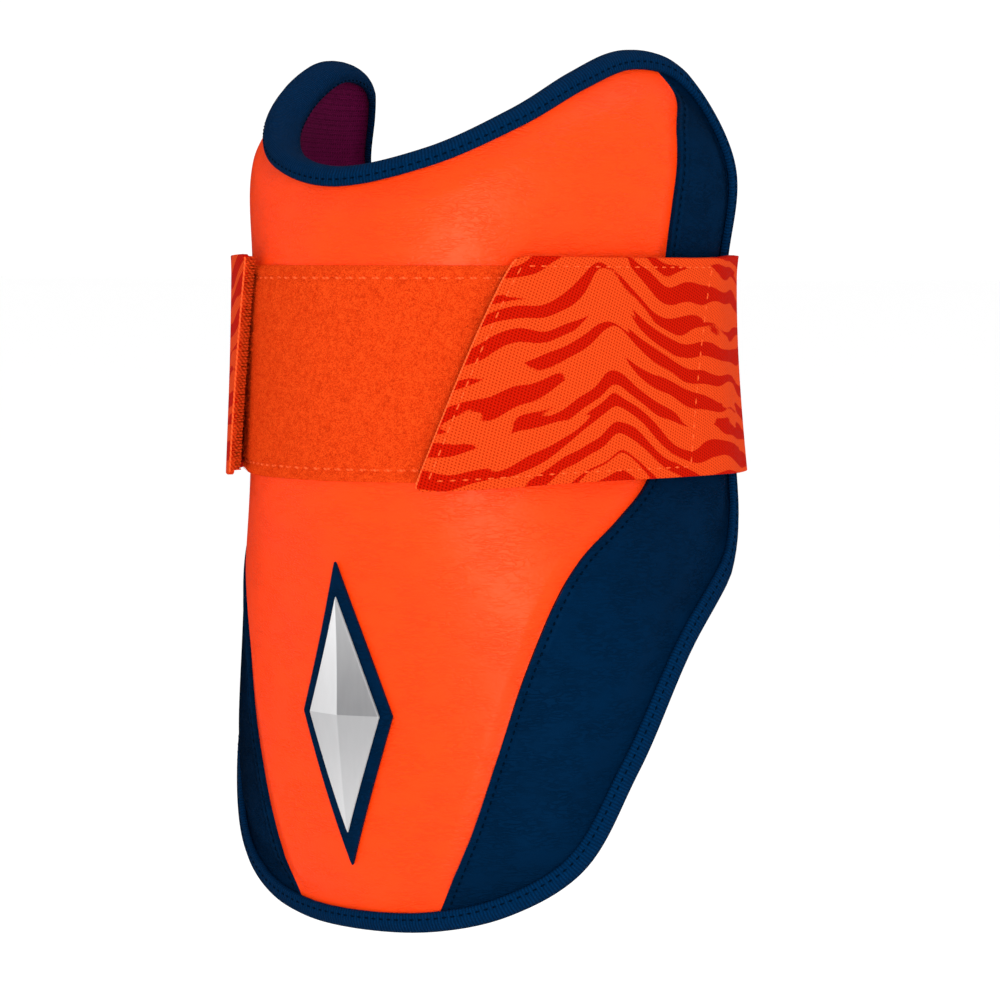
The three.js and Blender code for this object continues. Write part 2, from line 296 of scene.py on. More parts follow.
@dataclass(frozen=True)
class Shell:
    """The guard's nominal outer face, with its edge, its seams and its padding."""

    side_depth: float = 52.0
    strap_back_depth: float = 40.0
    back_edge: float = 112.0
    mm_per_degree: float = 1.25
    panel_inset: float = 1.5
    pad: float = 6.5
    rim_pad: float = 3.7
    rim_sink: float = 1.8
    swell_start: float = 4.5
    swell_end: float = 13.5
    small_step: float = 0.05
    edge_share_step: float = 1e-4
    seam_share_step: float = 1e-3
    edge_stops: int = 480
    seam_stops: int = 360

    def level(self, column: str, z: Array) -> Array:
        """Runs a smooth curve through one column of the sections.

        Args:
            column: The column's name.
            z: The heights.

        Returns:
            The column's value at each height.
        """
        keys = np.array([row.z for row in SECTIONS])
        values = np.array([getattr(row, column) for row in SECTIONS])
        padded_keys, padded = (np.pad(x, 1, mode="edge") for x in (keys, values))
        slopes = (padded[2:] - padded[:-2]) / (padded_keys[2:] - padded_keys[:-2])
        i = np.clip(np.searchsorted(keys, z, side="right") - 1, 0, len(keys) - 2)
        span = keys[i + 1] - keys[i]
        share = (z - keys[i]) / span
        return hermite(share, values[i], span * slopes[i], values[i + 1], span * slopes[i + 1])

    def face(self, angle: Array, z: Array) -> Array:
        """Gives the nominal face's points. Past the back edge they lie on the strap's way round.

        Args:
            angle: The angles from the front.
            z: The heights.

        Returns:
            The points, in millimetres.
        """
        turn = np.radians(angle)
        from_front = 180.0 - np.abs(180.0 - np.abs(angle))
        behind = smoothstep(from_front, self.back_edge, 180.0)
        back = lerp(self.side_depth, self.strap_back_depth, behind)
        depth = np.where(from_front <= 90.0, self.level("front", z), back)
        return np.stack([self.level("half_width", z) * np.sin(turn), -depth * np.cos(turn), z], axis=-1)

    def normal(self, angle: Array, z: Array) -> Array:
        """Gives the face's outward directions.

        Args:
            angle: The angles from the front.
            z: The heights.

        Returns:
            The directions, each of length 1.
        """
        step = self.small_step
        along = self.face(angle + step, z) - self.face(angle - step, z)
        up = self.face(angle, z + step) - self.face(angle, z - step)
        return unit(np.cross(along, up))

    def raised(self, angle: Array, z: Array, lift: Any) -> Array:
        """Gives points a height above the face."""
        lifts = np.broadcast_to(lift, np.shape(angle))
        return self.face(angle, z) + self.normal(angle, z) * lifts[..., None]

    @cached_property
    def loop(self) -> Array:
        """The whole edge's flat points, clockwise from the top middle."""
        right = np.array(EDGE, float)
        return np.concatenate([right, right[-2:0:-1] * (-1, 1)])

    def border(self, row: Array, inset: Any) -> Array:
        """Gives flat points along the edge, moved inwards over the face.

        Args:
            row: The places along the edge, in rows of its table.
            inset: How far inwards, in millimetres.

        Returns:
            The flat points.
        """
        share = np.asarray(row, float) / ROWS_ROUND
        step = self.edge_share_step
        at = spline(self.loop, share % 1.0, True)
        ahead = spline(self.loop, (share + step) % 1.0, True)
        tangent = ahead - spline(self.loop, (share - step) % 1.0, True)
        inward = unit(np.stack([tangent[:, 1], -tangent[:, 0] * self.mm_per_degree], axis=-1))
        return at + np.asarray(inset)[..., None] * inward / (self.mm_per_degree, 1.0)

    def stretch(self, start: float, end: float, share: Array) -> Array:
        """Gives flat points along a stretch of the panels' border.

        Args:
            start: The row of the edge where the stretch starts.
            end: The row where it ends.
            share: How far along it, from 0 to 1.

        Returns:
            The flat points.
        """
        return self.border(lerp(start, end, share), np.full(len(share), self.panel_inset))

    def seam(self, share: Array, inset: float = 0.0) -> Array:
        """Gives flat points down the right seam, moved towards the side panel.

        Args:
            share: How far down the seam, from 0 to 1.
            inset: How far to the side, in millimetres.

        Returns:
            The flat points.
        """
        ends = self.border(np.array([SEAM_TOP_ROW, SEAM_BOTTOM_ROW]), np.full(2, self.panel_inset))
        points = np.concatenate([ends[:1], np.array(SEAM, float), ends[1:]])
        step = self.seam_share_step
        at = spline(points, share, False)
        after, before = np.clip(share + step, 0, 1), np.clip(share - step, 0, 1)
        tangent = spline(points, after, False) - spline(points, before, False)
        sideways = unit(np.stack([-tangent[:, 1], tangent[:, 0] * self.mm_per_degree], axis=-1))
        return at + inset * sideways / (self.mm_per_degree, 1.0)

    def seam_up(self, share: Array) -> Array:
        """Gives flat points up the right seam."""
        return self.seam(1.0 - share)

    def left_seam_up(self, share: Array) -> Array:
        """Gives flat points up the left seam, which mirrors the right one."""
        return self.seam_up(share) * (-1, 1)

    def chart(self, flat: Array) -> Array:
        """Lays flat points out as a flat cut, in millimetres."""
        return flat * (self.mm_per_degree, 1.0)

    def distance(self, line: Array, flat: Array) -> Array:
        """Measures over the face from flat points to the nearest point of a line.

        Args:
            line: The line's flat points.
            flat: The flat points to measure from.

        Returns:
            The distance of each, in millimetres.
        """
        nearest = np.full(len(flat), np.inf)
        for point in line:
            away = np.hypot((flat[:, 0] - point[0]) * self.mm_per_degree, flat[:, 1] - point[1])
            nearest = np.minimum(nearest, away)
        return nearest

    @cached_property
    def edge_line(self) -> Array:
        """Points along the whole edge, close enough to measure from."""
        return spline(self.loop, np.linspace(0, 1, self.edge_stops, endpoint=False), True)

    @cached_property
    def seam_line(self) -> Array:
        """Points along the right seam, close enough to measure from."""
        return self.seam(np.linspace(0, 1, self.seam_stops))

    def swell(self, flat: Array) -> Array:
        """Gives how far the pad has swollen: 0 under the binding, 1 in the open panel."""
        return smoothstep(self.distance(self.edge_line, flat), self.swell_start, self.swell_end)

    def sink(self, swell: Array) -> Array:
        """Gives how deep the leather dives under the binding."""
        return self.rim_sink * (1 - swell)

    def inner_lift(self, swell: Array) -> Array:
        """Gives the height of the pad's inner face."""
        return -lerp(self.rim_sink + self.rim_pad, self.pad, swell)


SHELL = Shell()


def deselect() -> None:
    """Leaves nothing selected, so that an operator acts on its own piece alone."""
    bpy.ops.object.select_all(action="DESELECT")


def focus(piece: Piece) -> None:
    """Makes a piece the only one selected, and the active one.

    Args:
        piece: The piece.
    """
    deselect()
    piece.select_set(True)
    bpy.context.view_layer.objects.active = piece


def modify(piece: Piece, kind: str, **settings: Any) -> None:
    """Adds a modifier to a piece and applies it.

    Args:
        piece: The piece.
        kind: Blender's name for the modifier.
        **settings: The modifier's own settings.
    """
    focus(piece)
    modifier = piece.modifiers.new(kind.lower(), kind)
    for name, value in settings.items():
        setattr(modifier, name, value)
    bpy.ops.object.modifier_apply(modifier=modifier.name)


def points_of(piece: Piece) -> Array:
    """Reads a piece's points, in its own units.

    Args:
        piece: The piece.

    Returns:
        The points, a row each.
    """
    points = np.empty(3 * len(piece.data.vertices))
    piece.data.vertices.foreach_get("co", points)
    return points.reshape(-1, 3)


def place_points(piece: Piece, points: Array) -> None:
    """Moves a piece's points to places given in millimetres."""
    piece.data.vertices.foreach_set("co", (points * MM).ravel())
    piece.data.update()


def new_grid(name: str, across: int, up: int) -> tuple[Piece, Array, Array]:
    """Adds a flat grid.

    Args:
        name: The piece's name.
        across: How many steps it has across.
        up: How many steps it has up.

    Returns:
        The piece, and each point's share across and up.
    """
    deselect()
    bpy.ops.mesh.primitive_grid_add(x_subdivisions=across, y_subdivisions=up, size=1)
    piece = bpy.context.object
    piece.name = piece.data.name = name
    points = points_of(piece)
    return piece, points[:, 0] + 0.5, points[:, 1] + 0.5


def lay_chart(piece: Piece, chart: Array) -> None:
    """Lays the UV map out as the piece's flat cut, in millimetres.

    Args:
        piece: The piece.
        chart: Its points on the flat cut.
    """
    corners = np.empty(len(piece.data.loops), int)
    piece.data.loops.foreach_get("vertex_index", corners)
    piece.data.uv_layers[0].uv.foreach_set("vector", chart[corners].astype(np.float32).ravel())


def close_wall(piece: Piece, outer: Array, inner: Array, chart: Array) -> None:
    """Makes a grid a closed wall: one skin outside, one inside, joined round the rim.

    Args:
        piece: The grid.
        outer: Its points on the outer skin, in millimetres.
        inner: Its points on the inner skin.
        chart: Its points on the flat cut.
    """
    lay_chart(piece, chart)
    modify(piece, "SOLIDIFY", thickness=MM, offset=-1.0)
    place_points(piece, np.concatenate([outer, inner]))


def round_rim(piece: Piece, width: float, segments: int = 2) -> None:
    """Rounds the sharp edges of a wall's rim and smooths its shading.

    Args:
        piece: The wall.
        width: The rounding's width in millimetres.
        segments: How many facets the rounding has.
    """
    rounding = {"width": width * MM, "segments": segments, "angle_limit": math.radians(RIM_ANGLE)}
    modify(piece, "BEVEL", limit_method="ANGLE", **rounding)
    smooth(piece)


def smooth(piece: Piece, angle: float = SMOOTH_ANGLE) -> None:
    """Smooths a piece's shading across edges flatter than an angle."""
    focus(piece)
    bpy.ops.object.shade_smooth_by_angle(angle=math.radians(angle))


def close_up(piece: Piece) -> None:
    """Welds a grid's meeting borders together and turns its faces outwards.

    Args:
        piece: The grid.
    """
    focus(piece)
    bpy.ops.object.mode_set(mode="EDIT")
    bpy.ops.mesh.select_all(action="SELECT")
    bpy.ops.mesh.remove_doubles(threshold=WELD_GAP * MM)
    bpy.ops.mesh.normals_make_consistent(inside=False)
    bpy.ops.object.mode_set(mode="OBJECT")


def join_copies(name: str, shapes: Array, faces: Sequence[Sequence[int]]) -> Piece:
    """Makes one piece of many copies of a small shape.

    Args:
        name: The piece's name.
        shapes: The points of each copy, in millimetres.
        faces: The faces of the first copy.

    Returns:
        The piece.
    """
    count, size = shapes.shape[:2]
    all_faces = [[k * size + corner for corner in face] for k in range(count) for face in faces]
    mesh = bpy.data.meshes.new(name)
    mesh.from_pydata((shapes.reshape(-1, 3) * MM).tolist(), [], all_faces)
    piece = bpy.data.objects.new(name, mesh)
    bpy.context.scene.collection.objects.link(piece)
    smooth(piece)
    return piece


def tubes(name: str, paths: Array, guides: Array, radius: float, sides: int) -> Piece:
    """Makes round threads along paths.

    Args:
        name: The piece's name.
        paths: The points of each thread, in millimetres.
        guides: A direction across each thread, such as the cloth's normal.
        radius: The threads' radius.
        sides: How many sides they have.

    Returns:
        The piece.
    """
    steps = paths.shape[1]
    along = unit(np.gradient(paths, axis=1))
    across = unit(np.cross(along, np.broadcast_to(guides, paths.shape)))
    out = np.cross(across, along)
    turn = 2 * math.pi * np.arange(sides) / sides
    ring = np.cos(turn)[:, None] * across[:, :, None, :] + np.sin(turn)[:, None] * out[:, :, None, :]
    shapes = (paths[:, :, None, :] + radius * ring).reshape(len(paths), -1, 3)
    faces = [list(range(sides))[::-1], list(range((steps - 1) * sides, steps * sides))]
    for step in range(steps - 1):
        for side in range(sides):
            after = (side + 1) % sides
            low, high = step * sides, (step + 1) * sides
            faces.append([low + side, low + after, high + after, high + side])
    piece = join_copies(name, shapes, faces)
    close_up(piece)
    return piece


@dataclass(frozen=True)
class Stitch:
    """One sewn stitch: a plump thread that dives into the cloth at both ends."""

    length: float = 2.5
    pitch: float = 3.3
    width: float = 0.7
    height: float = 0.6
    dive: float = 0.35
    segments: int = 8
    rings: int = 6

    def model(self) -> tuple[Array, list[tuple[int, ...]]]:
        """Shapes one stitch from a ball.

        Returns:
            Its points in millimetres, along X with Z up, and its faces.
        """
        deselect()
        ball_steps = {"segments": self.segments, "ring_count": self.rings}
        bpy.ops.mesh.primitive_uv_sphere_add(radius=0.5, rotation=(0, math.pi / 2, 0), **ball_steps)
        ball = bpy.context.object
        bpy.ops.object.transform_apply(rotation=True)
        bpy.ops.object.mode_set(mode="EDIT")
        bpy.ops.mesh.select_all(action="SELECT")
        bpy.ops.transform.resize(value=(self.length, self.width, self.height))
        bpy.ops.object.mode_set(mode="OBJECT")
        points = points_of(ball)
        points[:, 2] -= self.dive * (2 * points[:, 0] / self.length) ** 2
        faces = [tuple(face.vertices) for face in ball.data.polygons]
        bpy.data.objects.remove(ball)
        return points, faces

    def sew(self, name: str, lines: Sequence[tuple[Array, Array]]) -> Piece:
        """Sews rows of stitches.

        Args:
            name: The piece's name.
            lines: Each row's points and outward directions.

        Returns:
            The piece.
        """
        shape, faces = self.model()
        half = self.length / 2
        rows = []
        for points, normals in lines:
            reach = reach_along(points)
            count = max(1, int(reach[-1] / self.pitch))
            middles = (np.arange(count) + 0.5) * reach[-1] / count
            tail, middle, tip = (read_along(points, reach, middles + way * half) for way in (-1, 0, 1))
            along = unit(tip - tail)
            normal = unit(read_along(normals, reach, middles))
            axes = np.stack([along, np.cross(normal, along), normal], axis=1)
            rows.append(middle[:, None, :] + np.einsum("pk,ckx->cpx", shape, axes))
        return join_copies(name, np.concatenate(rows), faces)


def srgb(red: int, green: int, blue: int) -> Colour:
    """Turns a screen colour from 0 to 255 into the linear one that shaders use.

    Args:
        red: The red, from 0 to 255.
        green: The green.
        blue: The blue.

    Returns:
        The linear colour.
    """
    shares = [value / 255 for value in (red, green, blue)]
    linear = [s / 12.92 if s <= 0.04045 else ((s + 0.055) / 1.055) ** 2.4 for s in shares]
    return (*linear, 1.0)


class Graph:
    """A small builder for a shader's nodes."""

    # A mix node has sockets for numbers, places and colours. These are the ones for colours.
    MIX_SHARE, MIX_FIRST, MIX_SECOND, MIX_RESULT = 0, 6, 7, 2

    def __init__(self, tree: bpy.types.NodeTree) -> None:
        """Starts on an empty tree."""
        self.tree = tree
        tree.nodes.clear()

    def add(self, kind: str, inputs: dict[Any, Any] | None = None, **settings: Any) -> bpy.types.Node:
        """Adds a node.

        Args:
            kind: Blender's name for the node, without its ShaderNode prefix.
            inputs: Values and links for its inputs, by name or number.
            **settings: The node's own settings.

        Returns:
            The node.
        """
        node = self.tree.nodes.new("ShaderNode" + kind)
        for name, value in settings.items():
            setattr(node, name, value)
        for key, value in (inputs or {}).items():
            self.feed(node.inputs[key], value)
        return node

    def feed(self, socket: Socket, value: Any) -> None:
        """Links a socket to another one, or sets its value.

        Args:
            socket: The socket.
            value: The socket to link it to, or its value.
        """
        if isinstance(value, Socket):
            self.tree.links.new(value, socket)
        else:
            socket.default_value = value

    def math(self, operation: str, *values: Any) -> Socket:
        """Adds a sum or function of numbers and gives its result."""
        node = self.add("Math", dict(enumerate(values)), operation=operation)
        return node.outputs[0]

    def ease(self, value: Any, low: Any, high: Any, start: float = 0.0, end: float = 1.0) -> Socket:
        """Eases a value smoothly from start to end as it goes from low to high."""
        inputs = {"Value": value, "From Min": low, "From Max": high, "To Min": start, "To Max": end}
        return self.add("MapRange", inputs, interpolation_type="SMOOTHSTEP").outputs[0]

    def mix(self, share: Any, first: Any, second: Any) -> Socket:
        """Mixes two colours by a share."""
        inputs = {self.MIX_SHARE: share, self.MIX_FIRST: first, self.MIX_SECOND: second}
        return self.add("Mix", inputs, data_type="RGBA").outputs[self.MIX_RESULT]

    def noise(self, vector: Any, scale: Any, detail: float = 2.0, distortion: float = 0.0) -> Socket:
        """Adds soft noise and gives its value."""
        inputs = {"Vector": vector, "Scale": scale, "Detail": detail, "Distortion": distortion}
        return self.add("TexNoise", inputs).outputs["Fac"]

    def stretch(self, vector: Any, scale: Triple) -> Socket:
        """Scales a place, so that a pattern is longer one way than another."""
        return self.add("Mapping", {"Vector": vector, "Scale": scale}).outputs[0]

    def long_noise(self, vector: Any, scale: Triple, detail: float = 1.0, distortion: float = 0.0) -> Socket:
        """Adds soft noise that is longer one way than another."""
        return self.noise(self.stretch(vector, scale), 1.0, detail, distortion)

    def wave(self, value: Any, length: float) -> Socket:
        """Gives a sine wave of a length along a value."""
        return self.math("SINE", self.math("MULTIPLY", value, 2 * math.pi / length))

    def apart(self, vector: Any) -> tuple[Socket, Socket]:
        """Splits a place into its first two numbers."""
        node = self.add("SeparateXYZ", {0: vector})
        return node.outputs[0], node.outputs[1]


class SharedEffect(Enum):
    """The effects that more than one finish uses, each a node group."""

    LEATHER_GRAIN = "leather_grain"
    FIBRE_TONE = "fibre_tone"
    THREAD_TWIST = "thread_twist"

    def tree(self) -> bpy.types.NodeTree:
        """Gives the effect's node group, built at its first use.

        Returns:
            The node group.
        """
        made = bpy.data.node_groups.get(self.value)
        if made is None:
            made = bpy.data.node_groups.new(self.value, "ShaderNodeTree")
            EFFECT_BUILDERS[self](made)
        return made


def open_group(
    tree: bpy.types.NodeTree, inputs: dict[str, Any], outputs: Sequence[str]
) -> tuple[Graph, Any, Any]:
    """Gives a node group its sockets.

    Args:
        tree: The group.
        inputs: Its inputs' names and values: a number, a colour, or None for a place.
        outputs: Its outputs' names, where one that ends in Colour is a colour.

    Returns:
        The group's builder, its input node and its output node.
    """
    for name, value in inputs.items():
        kind = "Vector" if value is None else "Color" if isinstance(value, tuple) else "Float"
        socket = tree.interface.new_socket(name, in_out="INPUT", socket_type=f"NodeSocket{kind}")
        if value is not None:
            socket.default_value = value
    for name in outputs:
        kind = "Color" if name.endswith("Colour") else "Float"
        tree.interface.new_socket(name, in_out="OUTPUT", socket_type=f"NodeSocket{kind}")
    graph = Graph(tree)
    return graph, tree.nodes.new("NodeGroupInput"), tree.nodes.new("NodeGroupOutput")


def build_leather_grain(tree: bpy.types.NodeTree) -> None:
    """Builds fine pebbled grain with short level wrinkles.

    Args:
        tree: The node group.
    """
    pebbles, pores, clouds = 1100.0, 5200.0, 40.0
    wrinkles, wrinkled_patches = (330.0, 330.0, 1250.0), (120.0, 120.0, 200.0)
    pebble_height, pore_height, crease_depth = 0.3, 0.15, 0.7
    line_range, patch_range = (0.12, 0.01), (0.25, 0.65)
    graph, given, result = open_group(tree, {"Place": None, "Creases": 1.0}, ("Height", "Crease", "Cloud"))
    place = given.outputs["Place"]
    cells = graph.add("TexVoronoi", {"Vector": place, "Scale": pebbles}, feature="SMOOTH_F1")
    pebble = graph.math("MULTIPLY", cells.outputs["Distance"], pebble_height)
    relief = graph.math("MULTIPLY_ADD", graph.noise(place, pores, 3.0), pore_height, pebble)
    wrinkle = graph.long_noise(place, wrinkles, 1.0, 0.5)
    from_line = graph.math("ABSOLUTE", graph.math("SUBTRACT", wrinkle, 0.5))
    patch = graph.ease(graph.long_noise(place, wrinkled_patches, 2.0), *patch_range)
    lines = graph.math("MULTIPLY", graph.ease(from_line, *line_range), patch)
    crease = graph.math("MULTIPLY", lines, given.outputs["Creases"])
    graph.feed(result.inputs["Height"], graph.math("MULTIPLY_ADD", crease, -crease_depth, relief))
    graph.feed(result.inputs["Crease"], crease)
    graph.feed(result.inputs["Cloud"], graph.noise(place, clouds, 2.0))


def build_fibre_tone(tree: bpy.types.NodeTree) -> None:
    """Builds the mottled tone of dyed fibres.

    Args:
        tree: The node group.
    """
    coarse_scale, coarse_share, tone_range = 0.2, 0.2, (0.38, 0.62)
    tones = {"Base Tone": (1.0, 1.0, 1.0, 1.0), "Deep Tone": (0.5, 0.5, 0.5, 1.0)}
    inputs = {"Place": None, "Scale": 1500.0, **tones}
    graph, given, result = open_group(tree, inputs, ("Fibre Colour", "Fuzz"))
    place = given.outputs["Place"]
    coarse = graph.noise(place, graph.math("MULTIPLY", given.outputs["Scale"], coarse_scale), 2.0)
    fine = graph.math("MULTIPLY", graph.noise(place, given.outputs["Scale"], 3.0, 0.6), 1 - coarse_share)
    fuzz = graph.math("MULTIPLY_ADD", coarse, coarse_share, fine)
    share = graph.ease(fuzz, *tone_range)
    colour = graph.mix(share, given.outputs["Deep Tone"], given.outputs["Base Tone"])
    graph.feed(result.inputs["Fibre Colour"], colour)
    graph.feed(result.inputs["Fuzz"], fuzz)


def build_thread_twist(tree: bpy.types.NodeTree) -> None:
    """Builds the slanting plies of a twisted thread.

    Args:
        tree: The node group.
    """
    plies, unevenness = 420.0, 1.5
    graph, given, result = open_group(tree, {"Place": None}, ("Ply",))
    inputs = {"Vector": given.outputs["Place"], "Scale": plies, "Distortion": unevenness}
    wave = graph.add("TexWave", inputs, bands_direction="DIAGONAL")
    graph.feed(result.inputs["Ply"], wave.outputs["Fac"])


EFFECT_BUILDERS = {
    SharedEffect.LEATHER_GRAIN: build_leather_grain,
    SharedEffect.FIBRE_TONE: build_fibre_tone,
    SharedEffect.THREAD_TWIST: build_thread_twist,
}


@dataclass(frozen=True)
class Finish:
    """A surface's finish: its name, its colours and how it takes the light."""

    name: str
    base: Colour
    deep: Colour
    roughness: float = 0.6
    specular: float = 0.2
    glint: Colour = (1.0, 1.0, 1.0, 1.0)
    relief: float = 0.2
    relief_share: float = 0.8
    gloss_range: Span = (0.3, 0.8)
    gloss_change: Span = (-0.04, 0.06)

    def material(self) -> bpy.types.Material:
        """Gives the finish's material, built at its first use.

        Returns:
            The material.
        """
        name = f"{self.name}_finish"
        made = bpy.data.materials.get(name)
        if made is None:
            made = bpy.data.materials.new(name)
            made.use_nodes = True
            self.build(Graph(made.node_tree))
        return made

    def build(self, graph: Graph) -> None:
        """Builds the finish's nodes."""
        raise NotImplementedError

    def surface(self, graph: Graph, inputs: dict[str, Any], height: Any) -> None:
        """Ends a material in its shader.

        Args:
            graph: The material's builder.
            inputs: The shader's inputs.
            height: The surface's relief, from 0 to about 1.
        """
        bump_inputs = {"Strength": self.relief_share, "Distance": self.relief * MM, "Height": height}
        bump = graph.add("Bump", bump_inputs)
        gloss = {"Specular IOR Level": self.specular, "Specular Tint": self.glint}
        all_inputs = {"Roughness": self.roughness, **gloss, **inputs, "Normal": bump.outputs[0]}
        shader = graph.add("BsdfPrincipled", all_inputs)
        output = graph.add("OutputMaterial")
        graph.feed(output.inputs["Surface"], shader.outputs[0])

    def uneven_gloss(self, graph: Graph, value: Socket) -> Socket:
        """Gives a roughness that changes a little with a value."""
        smoother, rougher = (self.roughness + change for change in self.gloss_change)
        return graph.ease(value, *self.gloss_range, smoother, rougher)

    def effect(self, graph: Graph, shared: SharedEffect, **inputs: Any) -> bpy.types.Node:
        """Places a shared effect in a material.

        Args:
            graph: The material's builder.
            shared: The effect.
            **inputs: Its inputs.

        Returns:
            The effect's node.
        """
        node = graph.add("Group", node_tree=shared.tree())
        for name, value in inputs.items():
            graph.feed(node.inputs[name.replace("_", " ")], value)
        return node

    def object_place(self, graph: Graph) -> Socket:
        """Gives the place on the object, in metres."""
        return graph.add("TexCoord").outputs["Object"]

    def chart_place(self, graph: Graph) -> Socket:
        """Gives the place on the flat cut, in millimetres."""
        return graph.add("TexCoord").outputs["UV"]


@dataclass(frozen=True)
class FibreFinish(Finish):
    """A cloth's finish, mottled by its fibres."""

    fibres: float = 1500.0
    fibre_tone: float = 1.0

    def fibre(self, graph: Graph, place: Socket) -> tuple[Socket, Socket]:
        """Places the mottled tone of the fibres.

        Args:
            graph: The material's builder.
            place: The place on the piece. The fibres are counted in its unit.

        Returns:
            The fibres' colour and their fuzz.
        """
        deep = tuple(lerp(light, dark, self.fibre_tone) for light, dark in zip(self.base, self.deep))
        tones = {"Base_Tone": self.base, "Deep_Tone": deep}
        node = self.effect(graph, SharedEffect.FIBRE_TONE, Place=place, Scale=self.fibres, **tones)
        return node.outputs["Fibre Colour"], node.outputs["Fuzz"]


@dataclass(frozen=True)
class Leather(Finish):
    """Smooth leather with a fine grain and short level wrinkles, whose creases are painted darker as painted
    shade.
    """

    relief_share: float = 0.6
    creases: float = 1.0
    crease_painted_shade: float = 0.3
    cloud_range: Span = (0.35, 0.75)
    cloud_tone: float = 0.25

    def build(self, graph: Graph) -> None:
        """Builds the leather's nodes.

        Args:
            graph: The material's builder.
        """
        place = self.object_place(graph)
        grain = self.effect(graph, SharedEffect.LEATHER_GRAIN, Place=place, Creases=self.creases)
        crease, cloud = grain.outputs["Crease"], grain.outputs["Cloud"]
        clouded = graph.mix(graph.ease(cloud, *self.cloud_range, 0.0, self.cloud_tone), self.base, self.deep)
        # Painted shade: the creases are painted towards the deep colour.
        colour = graph.mix(graph.math("MULTIPLY", crease, self.crease_painted_shade), clouded, self.deep)
        inputs = {"Base Color": colour, "Roughness": self.uneven_gloss(graph, cloud)}
        self.surface(graph, inputs, grain.outputs["Height"])


@dataclass(frozen=True)
class RibbedTape(FibreFinish):
    """Woven binding tape with fine cross ribs, whose furrows are painted darker as painted shade."""

    relief: float = 0.22
    fibres: float = 2600.0
    fibre_tone: float = 0.45
    rib: float = 0.9
    rib_sway: float = 0.4
    sway_scale: Triple = (0.35, 0.8, 1.0)
    pick: float = 0.42
    pick_height: float = 0.12
    painted_furrow_range: Span = (0.7, 0.1)
    painted_furrow_shade: float = 0.6

    def build(self, graph: Graph) -> None:
        """Builds the tape's nodes.

        Args:
            graph: The material's builder.
        """
        chart = self.chart_place(graph)
        along, around = graph.apart(chart)
        sway = graph.long_noise(chart, self.sway_scale)
        phase = graph.math("MULTIPLY_ADD", sway, self.rib_sway, graph.math("DIVIDE", along, self.rib))
        ribs = graph.math("MULTIPLY_ADD", graph.wave(phase, 1.0), 0.5, 0.5)
        height = graph.math("MULTIPLY_ADD", graph.wave(around, self.pick), self.pick_height, ribs)
        fibre = self.fibre(graph, self.object_place(graph))[0]
        # Painted shade: the furrows between the ribs are painted towards the deep colour.
        painted_furrow = graph.ease(ribs, *self.painted_furrow_range, 0.0, self.painted_furrow_shade)
        self.surface(graph, {"Base Color": graph.mix(painted_furrow, fibre, self.deep)}, height)


@dataclass(frozen=True)
class DottedMesh(FibreFinish):
    """Wicking lining knit: level courses with rows of small round holes; the holes and the grooves between
    courses are painted darker as painted shade.
    """

    relief: float = 0.3
    relief_share: float = 0.7
    fibres: float = 1400.0
    fibre_tone: float = 0.3
    course: float = 1.35
    hole_pitch: float = 1.25
    hole_radius: float = 0.27
    hole_border: Span = (0.12, -0.1)
    groove_range: Span = (0.33, 0.5)
    groove_depth: float = 0.3
    knit_loop: float = 0.55
    knit_height: float = 0.8
    knit_relief: float = 0.1
    painted_hole_shade: float = 0.6

    def build(self, graph: Graph) -> None:
        """Builds the lining's nodes.

        Args:
            graph: The material's builder.
        """
        along, up = graph.apart(self.chart_place(graph))
        row = graph.math("DIVIDE", up, self.course)
        shift = graph.math("MULTIPLY", graph.math("FLOORED_MODULO", graph.math("FLOOR", row), 2.0), 0.5)
        column = graph.math("ADD", graph.math("DIVIDE", along, self.hole_pitch), shift)
        side = self.from_middle(graph, column, self.hole_pitch)
        rise = self.from_middle(graph, row, self.course)
        squares = graph.math("MULTIPLY_ADD", side, side, graph.math("POWER", rise, 2.0))
        border = [self.hole_radius + soft for soft in self.hole_border]
        hole = graph.ease(graph.math("SQRT", squares), *border)
        groove_range = [share * self.course for share in self.groove_range]
        groove = graph.ease(graph.math("ABSOLUTE", rise), *groove_range)
        # Painted shade: the holes and the grooves are painted towards the deep colour; the same mask also
        # sinks the relief.
        dark = graph.math("MAXIMUM", hole, graph.math("MULTIPLY", groove, self.groove_depth))
        fibre = self.fibre(graph, self.object_place(graph))[0]
        colour = graph.mix(graph.math("MULTIPLY", dark, self.painted_hole_shade), fibre, self.deep)
        loops = graph.wave(up, self.knit_loop)
        knit = graph.math("MULTIPLY_ADD", loops, self.knit_relief, self.knit_height)
        self.surface(graph, {"Base Color": colour}, graph.math("SUBTRACT", knit, dark))

    def from_middle(self, graph: Graph, count: Socket, pitch: float) -> Socket:
        """Gives the distance from the middle of a row or column.

        Args:
            graph: The material's builder.
            count: The place, counted in rows or columns.
            pitch: The rows' or columns' pitch.

        Returns:
            The distance, with its sign.
        """
        return graph.math("MULTIPLY", graph.math("SUBTRACT", graph.math("FRACT", count), 0.5), pitch)


@dataclass(frozen=True)
class LoopPile(FibreFinish):
    """Brushed loop pile, mottled by the lie of its fibres."""

    relief: float = 0.4
    fibres: float = 3200.0
    tuft: float = 0.65
    tuft_height: float = 0.6

    def build(self, graph: Graph) -> None:
        """Builds the pile's nodes.

        Args:
            graph: The material's builder.
        """
        place = self.object_place(graph)
        colour, fuzz = self.fibre(graph, place)
        tufts = graph.add("TexVoronoi", {"Vector": place, "Scale": 1 / (self.tuft * MM)})
        height = graph.math("MULTIPLY_ADD", tufts.outputs["Distance"], self.tuft_height, fuzz)
        self.surface(graph, {"Base Color": colour}, height)


